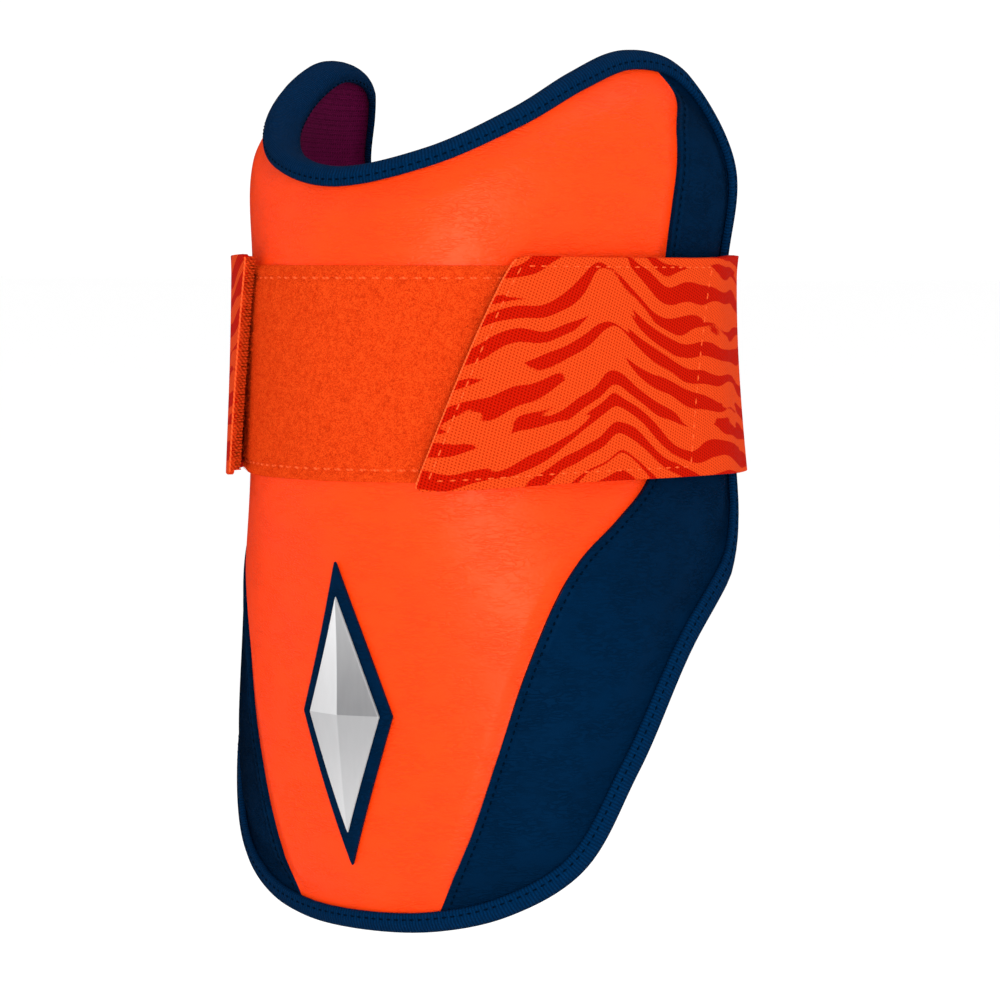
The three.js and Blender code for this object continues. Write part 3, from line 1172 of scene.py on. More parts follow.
@dataclass(frozen=True)
class HookTape(FibreFinish):
    """Hook tape: short stiff hooks in staggered rows."""

    relief: float = 0.6
    relief_share: float = 0.9
    fibres: float = 1600.0
    pitch: float = 1.4
    disorder: float = 0.3

    def build(self, graph: Graph) -> None:
        """Builds the hook tape's nodes.

        Args:
            graph: The material's builder.
        """
        colour = self.fibre(graph, self.object_place(graph))[0]
        rows = {"Vector": self.chart_place(graph), "Scale": 1 / self.pitch, "Randomness": self.disorder}
        hooks = graph.add("TexVoronoi", rows)
        self.surface(graph, {"Base Color": colour}, hooks.outputs["Distance"])


@dataclass(frozen=True)
class StripedWeb(FibreFinish):
    """Elastic webbing in a slanting open weave, printed with wavy stripes that swell, taper and break; the
    weave's holes are painted darker as painted shade.
    """

    relief: float = 0.25
    fibres: float = 3.0
    stripe: Colour = (0.6, 0.01, 0.0, 1.0)
    stripe_painted_shade: Colour = (0.3, 0.005, 0.0, 1.0)
    weave: float = 0.85
    weave_slants: Span = (0.5, -0.3)
    hole_range: Span = (-0.25, -0.75)
    painted_weave_shade: float = 0.8
    fibre_shares: Span = (0.75, 0.1)
    stripe_pitch: float = 6.8
    stripe_width: Span = (-0.05, 0.36)
    stripe_border: float = 0.02
    fat_range: Span = (0.33, 0.6)
    fat_scale: Triple = (0.04, 0.17, 1.0)
    peak_at: float = 189.0
    peak_spacing: float = 163.0
    peak_height: float = 20.0
    peak_spread: float = 21.0
    peak_rounding: float = 5.0
    sway: float = 10.0
    sway_scale: Triple = (0.05, 0.05, 1.0)
    bend: float = 14.0
    bend_scale: Triple = (0.04, 0.03, 1.0)
    raggedness: float = 0.05
    ragged_scale: float = 1.3

    def build(self, graph: Graph) -> None:
        """Builds the webbing's nodes.

        Args:
            graph: The material's builder.
        """
        chart = self.chart_place(graph)
        print_mask = self.stripes(graph, chart)
        hole = self.open_weave(graph, chart)
        fibre = self.fibre(graph, chart)[0]
        # Painted shade: in the weave's holes the ground is painted towards the fibre colour and the deep
        # colour, and the stripes towards their shaded colour.
        ground = graph.mix(graph.math("MULTIPLY_ADD", hole, *self.fibre_shares), self.base, fibre)
        ground = graph.mix(graph.math("MULTIPLY", hole, self.painted_weave_shade), ground, self.deep)
        printed = graph.mix(hole, self.stripe, self.stripe_painted_shade)
        height = graph.math("SUBTRACT", 1.0, hole)
        self.surface(graph, {"Base Color": graph.mix(print_mask, ground, printed)}, height)

    def stripes(self, graph: Graph, chart: Socket) -> Socket:
        """Draws the stripes: bands that climb to rounded peaks, swell, taper and break off.

        Args:
            graph: The material's builder.
            chart: The place on the flat cut, in millimetres.

        Returns:
            The stripes' mask.
        """
        along, up = graph.apart(chart)
        from_peak = graph.math("SUBTRACT", along, self.peak_at + self.sway / 2)
        swayed = graph.math("MULTIPLY_ADD", graph.long_noise(chart, self.sway_scale), self.sway, from_peak)
        away = graph.math("PINGPONG", swayed, self.peak_spacing / 2)
        eased = graph.math("SQRT", graph.math("MULTIPLY_ADD", away, away, self.peak_rounding))
        fall = graph.math("EXPONENT", graph.math("DIVIDE", eased, -self.peak_spread))
        bend = graph.math("MULTIPLY", graph.long_noise(chart, self.bend_scale), self.bend)
        level = graph.math("ADD", graph.math("MULTIPLY_ADD", fall, -self.peak_height, up), bend)
        band = graph.math("PINGPONG", graph.math("DIVIDE", level, self.stripe_pitch), 0.5)
        flow = graph.add("CombineXYZ", {0: along, 1: level}).outputs[0]
        width = graph.ease(graph.long_noise(flow, self.fat_scale), *self.fat_range, *self.stripe_width)
        frayed = graph.noise(chart, self.ragged_scale, 1.0)
        ragged = graph.math("MULTIPLY_ADD", frayed, self.raggedness, -self.raggedness / 2)
        gap = graph.math("SUBTRACT", graph.math("ADD", width, ragged), band)
        return graph.ease(gap, -self.stripe_border, self.stripe_border)

    def open_weave(self, graph: Graph, chart: Socket) -> Socket:
        """Weaves slanting rows of small holes.

        Args:
            graph: The material's builder.
            chart: The place on the flat cut, in millimetres.

        Returns:
            The holes' mask.
        """
        along, up = graph.apart(chart)
        rise_slant, fall_slant = self.weave_slants
        rise = graph.wave(graph.math("MULTIPLY_ADD", along, rise_slant, up), self.weave)
        fall = graph.wave(graph.math("MULTIPLY_ADD", up, fall_slant, along), self.weave)
        cross = graph.math("MULTIPLY", graph.math("ADD", rise, fall), 0.5)
        return graph.ease(cross, *self.hole_range)


@dataclass(frozen=True)
class SatinSilver(Finish):
    """Moulded silver badge: four satin facets with painted light: painted lighter on the left and above, and
    towards both tips.
    """

    relief: float = 0.02
    relief_share: float = 0.3
    gloss_range: Span = (0.2, 0.8)
    gloss_change: Span = (-0.05, 0.08)
    metallic: float = 0.1
    middle_z: float = -88.0
    side_border: float = 0.2
    level_border: float = 0.3
    painted_tip_reach: float = 30.0
    painted_darkest_tone: float = 0.1
    painted_left_light: float = 0.42
    painted_facing_light: float = 0.22
    painted_tip_light: float = 0.22
    flow_tone: float = 0.06
    flow_scale: Triple = (700.0, 700.0, 160.0)

    def build(self, graph: Graph) -> None:
        """Builds the silver's nodes.

        Args:
            graph: The material's builder.
        """
        place = self.object_place(graph)
        parts = graph.add("SeparateXYZ", {0: place})
        across, height = parts.outputs[0], parts.outputs[2]
        left = graph.ease(across, self.side_border * MM, -self.side_border * MM)
        low, high = (self.middle_z + way * self.level_border for way in (-1, 1))
        upper = graph.ease(height, low * MM, high * MM)
        from_middle = graph.math("ABSOLUTE", graph.math("SUBTRACT", height, self.middle_z * MM))
        painted_tip_share = graph.ease(from_middle, 0.0, self.painted_tip_reach * MM)
        # Painted light: each facet gets a painted tone, lighter on the left and above, and lighter towards
        # both tips.
        painted_facing_share = graph.math("COMPARE", left, upper, 0.5)
        tone = graph.math("MULTIPLY_ADD", painted_facing_share, self.painted_facing_light, self.painted_darkest_tone)
        tone = graph.math("MULTIPLY_ADD", left, self.painted_left_light, tone)
        tone = graph.math("MULTIPLY_ADD", painted_tip_share, self.painted_tip_light, tone)
        flow = graph.long_noise(place, self.flow_scale, 2.0)
        colour = graph.mix(graph.math("MULTIPLY_ADD", flow, self.flow_tone, tone), self.deep, self.base)
        rough = self.uneven_gloss(graph, flow)
        self.surface(graph, {"Base Color": colour, "Roughness": rough, "Metallic": self.metallic}, flow)


@dataclass(frozen=True)
class TwistedThread(Finish):
    """Sewing thread with its plies showing; the grooves between the plies are painted darker as painted
    shade.
    """

    relief: float = 0.1
    relief_share: float = 0.6

    def build(self, graph: Graph) -> None:
        """Builds the thread's nodes."""
        ply = self.effect(graph, SharedEffect.THREAD_TWIST, Place=self.object_place(graph)).outputs["Ply"]
        # Painted shade: the grooves between the plies are painted towards the deep colour.
        self.surface(graph, {"Base Color": graph.mix(ply, self.deep, self.base)}, ply)


@dataclass(frozen=True)
class StudioPaper(Finish):
    """Pale seamless paper for the floor."""

    relief: float = 0.05
    relief_share: float = 0.2
    tooth_scale: float = 260.0

    def build(self, graph: Graph) -> None:
        """Builds the paper's nodes."""
        tooth = graph.noise(self.object_place(graph), self.tooth_scale, 2.0)
        self.surface(graph, {"Base Color": graph.mix(tooth, self.base, self.deep)}, tooth)


WARM_GLINT = srgb(255, 230, 194)
BLUE_GLINT = srgb(90, 170, 255)
ORANGE_LEATHER = Leather("orange_leather", srgb(255, 64, 6), srgb(236, 45, 2), 0.4, 0.26, WARM_GLINT)
NAVY_LEATHER = Leather("navy_leather", srgb(0, 28, 56), srgb(0, 17, 36), 0.45, 0.05, BLUE_GLINT, creases=1.5)
NAVY_TAPE = RibbedTape("navy_tape", srgb(0, 40, 78), srgb(0, 21, 44), 0.65, 0.04, BLUE_GLINT)
MAROON_MESH = DottedMesh("maroon_mesh", srgb(93, 10, 58), srgb(34, 1, 19), 0.9, 0.02, WARM_GLINT)
ORANGE_LOOP = LoopPile("orange_loop", srgb(231, 73, 22), srgb(197, 48, 9), 1.0, 0.0, WARM_GLINT)
ORANGE_HOOK = HookTape("orange_hook", srgb(206, 66, 16), srgb(120, 32, 4), 0.9, 0.05, WARM_GLINT)
STRIPED_WEB = StripedWeb(
    "striped_web", srgb(222, 67, 22), srgb(178, 40, 5), 0.85, 0.02, WARM_GLINT,
    stripe=srgb(186, 19, 2), stripe_painted_shade=srgb(148, 7, 0),
)
SILVER = SatinSilver("silver_badge", srgb(226, 226, 227), srgb(112, 112, 114), 0.36, 0.4)
NAVY_THREAD = TwistedThread("navy_thread", srgb(0, 18, 38), srgb(0, 9, 22), 0.7, 0.04, BLUE_GLINT)
ORANGE_THREAD = TwistedThread("orange_thread", srgb(243, 96, 47), srgb(217, 69, 25), 0.8, 0.02, WARM_GLINT)
OVERLOCK_THREAD = TwistedThread(
    "overlock_thread", srgb(208, 64, 21), srgb(162, 38, 8), 0.85, 0.02, WARM_GLINT
)
STUDIO_PAPER = StudioPaper("studio_paper", srgb(255, 255, 255), srgb(253, 253, 253), 0.9, 0.1)


def settle(piece: Piece, finish: Finish, slot: str, *nodes: str) -> Piece:
    """Dresses a finished piece and sets it on the guard.

    Args:
        piece: The piece.
        finish: Its finish.
        slot: The record's material slot. It is not used.
        *nodes: The solids that it stands for.

    Returns:
        The piece.
    """
    piece.data.materials.clear()
    piece.data.materials.append(finish.material())
    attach(piece, BODY)
    if nodes:
        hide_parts(*nodes)
    log.info("%s: %d faces", piece.name, len(piece.data.polygons))
    return piece


class Wave(NamedTuple):
    """A wave in the leather: how fast it runs round the arm and up it, and where it starts."""

    around: float
    up: float
    start: float = 0.0


RIPPLE_LENGTH = 23.0
RIPPLES = (Wave(3.1, 1.7, 0.6), Wave(-1.9, 2.3), Wave(4.7, -2.6))


def ripple(flat: Array, depth: float) -> Array:
    """Gives the shallow unevenness of leather drawn over foam, in millimetres.

    Args:
        flat: The flat points.
        depth: How deep the unevenness is.

    Returns:
        The height at each point.
    """
    angle, z = np.radians(flat[:, 0]), flat[:, 1] / RIPPLE_LENGTH
    first, second, slow = (np.sin(wave.around * angle + wave.up * z + wave.start) for wave in RIPPLES)
    return depth * (first * second + slow) / 2


@dataclass
class Panels:
    """The three padded leather panels: orange down the front, navy round both sides."""

    front_steps: tuple[int, int] = (112, 150)
    side_steps: tuple[int, int] = (64, 150)
    crowding: float = 0.5
    seam_crowding: float = 1.5
    seam_gap: float = 0.05
    seam_sink: float = 1.0
    seam_groove: float = 4.5
    lap_rise: float = 0.4
    lap_roll: float = 0.7
    lap_width: float = 2.0
    lap_end: float = 4.4
    stitch_line: float = 1.8
    stitch_dip: float = 0.45
    stitch_spread: float = 0.65
    stitch_proud: float = 0.06
    stitch_span: Span = (0.035, 0.985)
    stitch_stops: int = 400
    unevenness: float = 0.12
    fill: float = 0.85
    stitch: Stitch = Stitch(length=1.6, pitch=2.1, width=0.6, height=0.45, dive=0.28)

    def build(self) -> None:
        """Builds the panels and their seams' stitches."""
        front = self.front()
        settle(front, ORANGE_LEATHER, "orange_leather", "front_panel")
        for side in Side:
            name = f"side_panel_{side.name.lower()}"
            panel = self.side(side, name)
            settle(panel, NAVY_LEATHER, "navy_leather", name)
        settle(self.seam_stitches(), NAVY_THREAD, "navy_tape")

    def pad(self, piece: Piece, at: Array, lift: Array, swell: Array) -> Piece:
        """Bends a grid into one padded wall.

        Args:
            piece: The grid.
            at: Its flat points.
            lift: The leather's heights over the nominal face.
            swell: How far the pad has swollen.

        Returns:
            The piece.
        """
        outer, inner = (SHELL.raised(*at.T, height) for height in (lift, SHELL.inner_lift(swell)))
        close_wall(piece, outer, inner, SHELL.chart(at))
        smooth(piece)
        return piece

    def front(self) -> Piece:
        """Builds the front panel, sunk along both seams.

        Returns:
            The piece.
        """
        piece, across, up = new_grid("front_panel_leather", *self.front_steps)
        across, up = crowd_ends(across, self.crowding), crowd_ends(up, self.crowding)
        at = four_sided(
            across,
            up,
            bottom=partial(SHELL.stretch, ROWS_ROUND - SEAM_BOTTOM_ROW, SEAM_BOTTOM_ROW),
            top=partial(SHELL.stretch, -SEAM_TOP_ROW, SEAM_TOP_ROW),
            left=SHELL.left_seam_up,
            right=SHELL.seam_up,
        )
        at[:, 0] += self.seam_gap * (1 - 2 * across)
        swell = SHELL.swell(at)
        from_seam = SHELL.distance(SHELL.seam_line, np.stack([np.abs(at[:, 0]), at[:, 1]], axis=-1))
        groove = self.seam_sink * (1 - smoothstep(from_seam, 0, self.seam_groove))
        lift = (ripple(at, self.unevenness) - groove) * swell - SHELL.sink(swell)
        return self.pad(piece, at, lift, swell)

    def side(self, side: Side, name: str) -> Piece:
        """Builds one side panel, whose folded border laps over the seam.

        Args:
            side: Which side.
            name: The solid's name.

        Returns:
            The piece.
        """
        piece, across, up = new_grid(f"{name}_leather", *self.side_steps)
        across = (across if side is Side.RIGHT else 1 - across) ** self.seam_crowding
        on_right = four_sided(
            across,
            crowd_ends(up, self.crowding),
            bottom=partial(SHELL.stretch, SEAM_BOTTOM_ROW, LOWER_CORNER_ROW),
            top=partial(SHELL.stretch, SEAM_TOP_ROW, UPPER_CORNER_ROW),
            left=SHELL.seam_up,
            right=partial(SHELL.stretch, LOWER_CORNER_ROW, UPPER_CORNER_ROW),
        )
        on_right[:, 0] += self.seam_gap * (1 - across)
        at = on_right * (side.value, 1)
        swell = SHELL.swell(at)
        from_seam = SHELL.distance(SHELL.seam_line, on_right)
        fold = self.lap_rise * (1 - smoothstep(from_seam, self.lap_width, self.lap_end))
        dip = pulled_in(from_seam, self.stitch_line, self.stitch_dip, self.stitch_spread)
        rolled = np.clip(self.lap_roll - from_seam, 0, self.lap_roll)
        roll = self.lap_roll - np.sqrt(self.lap_roll**2 - rolled**2)
        over = (fold - dip + ripple(at, self.unevenness)) * swell
        return self.pad(piece, at, over - roll - SHELL.sink(swell), swell)

    def seam_stitches(self) -> Piece:
        """Sews the dark topstitch down both side panels, inside their folded border.

        Returns:
            The piece.
        """
        right = SHELL.seam(np.linspace(*self.stitch_span, self.stitch_stops), self.stitch_line)
        lines = []
        for side in Side:
            at = right * (side.value, 1)
            swell = SHELL.swell(at)
            over = (self.lap_rise - self.stitch_dip + ripple(at, self.unevenness)) * swell
            lift = over - SHELL.sink(swell) + self.stitch_proud
            lines.append((SHELL.raised(*at.T, lift), SHELL.normal(*at.T)))
        return self.stitch.sew("seam_stitches", lines)


@dataclass
class Lining:
    """The wicking mesh that lines the whole shell."""

    steps: tuple[int, int] = (120, 100)
    crowding: float = 0.5
    thickness: float = 1.3
    gap: float = 0.7
    flat_size: Span = (0.250, 0.221)
    flat_area: float = 0.0385

    def build(self) -> None:
        """Builds the lining."""
        piece = settle(self.mesh(), MAROON_MESH, "maroon_mesh", "lining")

    def mesh(self) -> Piece:
        """Bends a grid behind the whole padded wall.

        Returns:
            The piece.
        """
        piece, across, up = new_grid("lining_mesh", *self.steps)
        left_lower, left_upper = ROWS_ROUND - LOWER_CORNER_ROW, ROWS_ROUND - UPPER_CORNER_ROW
        at = four_sided(
            across,
            crowd_ends(up, self.crowding),
            bottom=partial(SHELL.stretch, left_lower, LOWER_CORNER_ROW),
            top=partial(SHELL.stretch, -UPPER_CORNER_ROW, UPPER_CORNER_ROW),
            left=partial(SHELL.stretch, left_lower, left_upper),
            right=partial(SHELL.stretch, LOWER_CORNER_ROW, UPPER_CORNER_ROW),
        )
        lift = SHELL.inner_lift(SHELL.swell(at)) - self.gap
        outer, inner = (SHELL.raised(*at.T, height) for height in (lift, lift - self.thickness))
        close_wall(piece, outer, inner, SHELL.chart(at))
        smooth(piece)
        return piece


@dataclass
class EdgeBinding:
    """The ribbed tape folded round the whole edge, sewn through from front to back."""

    along_steps: int = 420
    leg_stops: int = 14
    back_leg_stops: int = 10
    nose_stops: int = 13
    thickness: float = 1.2
    reach: float = 5.8
    back_reach: float = 3.5
    nose: float = 2.5
    proud: float = 1.5
    rim: float = 9.6
    crown: float = 0.45
    press: float = 0.35
    tip: float = 0.2
    chart_inset: float = 2.0
    smooth_angle: float = 60.0
    stitch_line: float = 4.4
    back_stitch_line: float = 2.8
    stitch_dip: float = 0.3
    stitch_spread: float = 0.7
    stitch_proud: float = 0.04
    stitch_stops: int = 1400
    flat_size: Span = (0.0170, 0.735)
    stitch: Stitch = Stitch(length=1.7, pitch=2.3, width=0.5, height=0.4, dive=0.28)

    def build(self) -> None:
        """Builds the tape and the stitches through it."""
        piece = settle(self.tape(), NAVY_TAPE, "navy_tape", "edge_binding")
        stitches = settle(self.stitches(), NAVY_THREAD, "navy_tape")

    def leg_rise(self, inset: Array, reach: float, stitch_line: float) -> Array:
        """Gives how far a leg of the tape stands out: crowned, pressed at its end, pulled in at the stitches.

        Args:
            inset: The distances from the nose.
            reach: Where the leg ends.
            stitch_line: Where it is sewn.

        Returns:
            The rise at each distance.
        """
        share = np.clip((inset - self.nose) / (reach - self.nose), 0, 1)
        crowned = self.crown * np.sin(math.pi * share) - self.press * share**3
        return crowned - pulled_in(inset, stitch_line, self.stitch_dip, self.stitch_spread)

    def skin(self, shrink: float) -> Array:
        """Draws one face of the tape, from the front leg's end round the nose to the back leg's end.

        Args:
            shrink: How far inside the outer face it lies.

        Returns:
            Rows of inset from the nose and depth under the nominal face.
        """
        leg = np.linspace(self.reach, self.nose, self.leg_stops)
        back_leg = np.linspace(self.nose, self.back_reach, self.back_leg_stops)
        turn = np.linspace(0, math.pi, self.nose_stops)[1:-1]
        middle = self.rim / 2
        rise = self.leg_rise(leg, self.reach, self.stitch_line)
        back_rise = self.leg_rise(back_leg, self.back_reach, self.back_stitch_line)
        inset = self.nose - (self.nose - shrink) * np.sin(turn)
        nose = np.stack([inset, middle - (middle - shrink) * np.cos(turn)], axis=-1)
        front = np.stack([leg, shrink - rise], axis=-1)
        back = np.stack([back_leg, self.rim - shrink + back_rise], axis=-1)
        return np.concatenate([front, nose, back])

    def section(self) -> Array:
        """Draws the tape's section.

        Returns:
            Closed rows of inset from the nose and depth under the nominal face.
        """
        outer, inner = self.skin(0.0), self.skin(self.thickness)
        half = self.thickness / 2 + self.press
        tip = np.array([[self.reach + self.tip, half]])
        back_tip = np.array([[self.back_reach + self.tip, self.rim - half]])
        return np.concatenate([outer, back_tip, inner[::-1], tip, outer[:1]])

    def tape(self) -> Piece:
        """Bends a grid round the whole edge: one way runs along it, the other round the tape's section.

        Returns:
            The piece.
        """
        section = self.section()
        rows = len(section) - 1
        piece, across, up = new_grid("edge_binding_tape", self.along_steps, rows)
        row = across * ROWS_ROUND
        stops = np.linspace(0, ROWS_ROUND, self.along_steps + 1)
        ring = SHELL.border(stops, np.full(len(stops), self.chart_inset))
        along = np.interp(row, stops, reach_along(SHELL.face(*ring.T)))
        around = np.interp(up * rows, range(rows + 1), reach_along(section))
        lay_chart(piece, np.stack([along, around], axis=-1))
        corner = section[np.rint(up * rows).astype(int)]
        at = SHELL.border(row, corner[:, 0] - self.proud)
        place_points(piece, SHELL.raised(*at.T, -corner[:, 1]))
        close_up(piece)
        smooth(piece, self.smooth_angle)
        return piece

    def stitches(self) -> Piece:
        """Sews the tape's stitches, on the leather's side and on the lining's.

        Returns:
            The piece.
        """
        row = np.linspace(0, ROWS_ROUND, self.stitch_stops)
        front = (1, self.stitch_line, self.reach)
        back = (-1, self.back_stitch_line, self.back_reach)
        lines = []
        for way, stitch_line, reach in (front, back):
            at = SHELL.border(row, np.full(len(row), stitch_line - self.proud))
            rise = self.leg_rise(np.array([stitch_line]), reach, stitch_line)[0] + self.stitch_proud
            lift = rise if way > 0 else -self.rim - rise
            lines.append((SHELL.raised(*at.T, lift), way * SHELL.normal(*at.T)))
        return self.stitch.sew("binding_stitches", lines)


@dataclass
class LoopPatch:
    """The brushed loop patch sewn across the front."""

    angle: float = 75.5
    width: float = 55.0
    bottom: float = 0.15
    top: float = 1.75
    border: float = 0.8
    border_width: float = 1.6
    rim: float = 0.25
    steps: tuple[int, int] = (170, 56)
    crowding: float = 0.6
    stitch_line: float = 3.2
    stitch_dip: float = 0.55
    stitch_spread: float = 0.8
    stitch_proud: float = 0.12
    stitch_end: float = 2.0
    stitch_stops: int = 300
    fibres: int = 5200
    fibre_end: float = 1.0
    fibre_margin: float = 0.6
    fibre_spans: Span = (0.5, 1.2)
    fibre_heights: Span = (0.25, 0.6)
    fibre_root: float = 0.08
    fibre_radius: float = 0.055
    fibre_stops: int = 5
    fibre_sides: int = 3
    seed: int = 11
    flat_size: Span = (0.055, 0.196)
    stitch: Stitch = Stitch(length=2.6, pitch=3.5, width=0.75, height=0.5, dive=0.3)

    def build(self) -> None:
        """Builds the patch, its stitches and its standing fibres."""
        piece = settle(self.pile(), ORANGE_LOOP, "orange_loop", "loop_patch")
        stitches = settle(self.stitches(), ORANGE_THREAD, "orange_loop")
        fibres = settle(self.standing_fibres(), ORANGE_LOOP, "orange_loop")

    def lift(self, z: Array) -> Array:
        """Gives the pile's height: thin at the borders, dipped along the stitches.

        Args:
            z: The heights.

        Returns:
            The pile's height over the nominal face at each.
        """
        away = self.width / 2 - np.abs(z)
        body = lerp(self.border, self.top, smoothstep(away, 0, self.border_width))
        return body - pulled_in(away, self.stitch_line, self.stitch_dip, self.stitch_spread)

    def pile(self) -> Piece:
        """Bends a grid over the front.

        Returns:
            The piece.
        """
        piece, across, share = new_grid("loop_patch_pile", *self.steps)
        angle = self.angle * (2 * across - 1)
        z = self.width * (crowd_ends(share, self.crowding) - 0.5)
        outer, inner = (SHELL.raised(angle, z, height) for height in (self.lift(z), self.bottom))
        close_wall(piece, outer, inner, SHELL.chart(np.stack([angle, z], axis=-1)))
        round_rim(piece, self.rim)
        return piece

    def stitches(self) -> Piece:
        """Sews a row of stitches along both borders.

        Returns:
            The piece.
        """
        end = self.angle - self.stitch_end
        angle = np.linspace(-end, end, self.stitch_stops)
        lines = []
        for way in (-1, 1):
            z = np.full(len(angle), way * (self.width / 2 - self.stitch_line))
            lift = self.lift(z) + self.stitch_proud
            lines.append((SHELL.raised(angle, z, lift), SHELL.normal(angle, z)))
        return self.stitch.sew("patch_stitches", lines)

    def standing_fibres(self) -> Piece:
        """Stands small arched fibres on the pile, in a seeded scatter.

        Returns:
            The piece.
        """
        draw = np.random.default_rng(self.seed)
        end, half = self.angle - self.fibre_end, self.width / 2 - self.fibre_margin
        angle = draw.uniform(-end, end, self.fibres)
        z = draw.uniform(-half, half, self.fibres)
        turn = draw.uniform(0, math.pi, self.fibres)
        span = draw.uniform(*self.fibre_spans, self.fibres)
        height = draw.uniform(*self.fibre_heights, self.fibres)
        share = np.linspace(-0.5, 0.5, self.fibre_stops)
        lie = share * span[:, None]
        across = (angle[:, None] + lie * np.cos(turn)[:, None] / SHELL.mm_per_degree).ravel()
        up = (z[:, None] + lie * np.sin(turn)[:, None]).ravel()
        arch = ((1 - 4 * share**2) * height[:, None] - self.fibre_root).ravel()
        shape = (self.fibres, self.fibre_stops, 3)
        paths = SHELL.raised(across, up, self.lift(up) + arch).reshape(shape)
        guides = SHELL.normal(across, up).reshape(shape)
        return tubes("loop_patch_fibres", paths, guides, self.fibre_radius, self.fibre_sides)


class OverlockTurn(NamedTuple):
    """A corner of the overlock's zig-zag: its share of the pitch, how far out it stands and its height."""

    share: float
    outwards: float
    height: float


@dataclass
class Strap:
    """The striped elastic strap with its hook pads: it closes behind the arm and hooks on the patch."""

    width: float = 58.0
    rise: float = 1.2
    thickness: float = 1.6
    right_end: float = 31.8
    right_slant: float = 0.38
    left_end: float = -29.5
    left_slant: float = 0.17
    lift: float = 4.0
    back_lift: float = 0.35
    fall_start: float = 81.0
    fall_end: float = 107.0
    corner: float = 2.2
    corner_drop: float = 1.4
    corner_reach: float = 46.0
    flare: float = 1.3
    flare_reach: float = 26.0
    steps: tuple[int, int] = (330, 48)
    crowding: float = 0.5
    rim: float = 0.4
    rim_segments: int = 3
    arc_span: Span = (-90.0, 450.0)
    arc_stops: int = 1081
    stitch_line: float = 2.6
    stitch_dip: float = 0.3
    stitch_spread: float = 0.8
    stitch_proud: float = 0.06
    end_stops: int = 120
    tab_stops: int = 160
    tab_start: float = 0.02
    tab_fade: Span = (-6.0, 2.0)
    hook_thickness: float = 1.7
    hook_gap: float = 0.1
    hook_rim: float = 0.25
    hook_inset: float = 2.0
    hook_end: float = 82.5
    hook_end_slant: float = 0.18
    hook_end_inset: float = 0.7
    hook_steps: tuple[int, int] = (50, 24)
    overlock_pitch: float = 0.8
    overlock_margin: float = 1.2
    overlock_top: float = 0.5
    overlock_side: float = 0.2
    overlock_bottom: float = 0.1
    overlock_unevenness: float = 0.16
    overlock_radius: float = 0.17
    overlock_stops: int = 5
    overlock_sides: int = 6
    overlock_seed: int = 5
    hem: float = 0.28
    hem_out: float = 0.05
    hem_corner: float = 0.4
    hem_stops: int = 140
    hem_sides: int = 8
    flat_size: Span = (0.058, 0.360)
    hook_flat: Span = (0.054, 0.074)
    stitch: Stitch = Stitch(length=2.2, pitch=3.1, width=0.45, height=0.4, dive=0.25)

    def build(self) -> None:
        """Builds the strap, its hook pads and its stitches."""
        strap = settle(self.band(), STRIPED_WEB, "striped_web", "strap")
        stitches = settle(self.stitches(), ORANGE_THREAD, "striped_web")
        overlock = settle(self.overlock(), OVERLOCK_THREAD, "striped_web")
        hems = settle(self.hems(), ORANGE_THREAD, "striped_web")
        for side in Side:
            name = f"hook_pad_{side.name.lower()}"
            pad = settle(self.hook_pad(side, f"{name}_tape"), ORANGE_HOOK, "orange_hook", name)

    def start(self, up: Array) -> Array:
        """Gives the right end's angle at each place across the width, with its corners rounded."""
        return self.right_end + self.right_slant * (up + self.rise) + self.rounded(up)

    def end(self, up: Array) -> Array:
        """Gives the left end's angle, all the way round the back."""
        return FULL_TURN + self.left_end + self.left_slant * (up + self.rise) - self.rounded(up)

    def rounded(self, up: Array) -> Array:
        """Gives how far a rounded corner draws an end back, in degrees."""
        into = np.clip(np.abs(up) - (self.width / 2 - self.corner), 0, self.corner)
        return (self.corner - np.sqrt(self.corner**2 - into**2)) / SHELL.mm_per_degree

    def hook_back(self, up: Array, side: Side) -> Array:
        """Gives the angle where a hook pad ends behind."""
        slanted = self.hook_end_slant * (up + self.rise)
        return self.hook_end + slanted if side is Side.RIGHT else FULL_TURN - self.hook_end + slanted

    def lowness(self, up: Array) -> Array:
        """Gives how near each place across the width is to the lower border, from 0 to 1."""
        return smoothstep(-up, -self.width / 2, self.width / 2)

    def under(self, angle: Array, up: Array) -> Array:
        """Gives the height of the strap's underside.

        Args:
            angle: The angles from the front.
            up: The places across the width.

        Returns:
            The height: up on the hook pads, down on the side panels, flared at the left end's lower corner.
        """
        from_front = np.minimum(angle, FULL_TURN - angle)
        stacked = lerp(self.lift, self.back_lift, smoothstep(from_front, self.fall_start, self.fall_end))
        to_end = (FULL_TURN + self.left_end + self.left_slant * up - angle) * SHELL.mm_per_degree
        open_end = 1 - smoothstep(to_end, 0, self.flare_reach)
        return stacked + self.flare * open_end * self.lowness(up)

    def placed(self, angle: Array, up: Array, over: Array | float) -> Array:
        """Places points on the strap.

        Args:
            angle: The angles from the front.
            up: The places across the width, measured from its middle.
            over: The heights over the strap's underside.

        Returns:
            The points; the free lower corner hangs a little.
        """
        from_end = (angle - self.start(up)) * SHELL.mm_per_degree
        drop = self.corner_drop * self.lowness(up) * (1 - smoothstep(from_end, 0, self.corner_reach))
        return SHELL.raised(angle, up + self.rise - drop, self.under(angle, up) + over)

    def dip(self, angle: Array, up: Array) -> Array:
        """Gives how deep the long stitch rows of the tab pull the strap in.

        Args:
            angle: The angles from the front.
            up: The places across the width.

        Returns:
            The depth at each place.
        """
        away = self.width / 2 - np.abs(up)
        fade_start, fade_end = (self.hook_end + past for past in self.tab_fade)
        tab = 1 - smoothstep(angle, fade_start, fade_end)
        return tab * pulled_in(away, self.stitch_line, self.stitch_dip, self.stitch_spread)

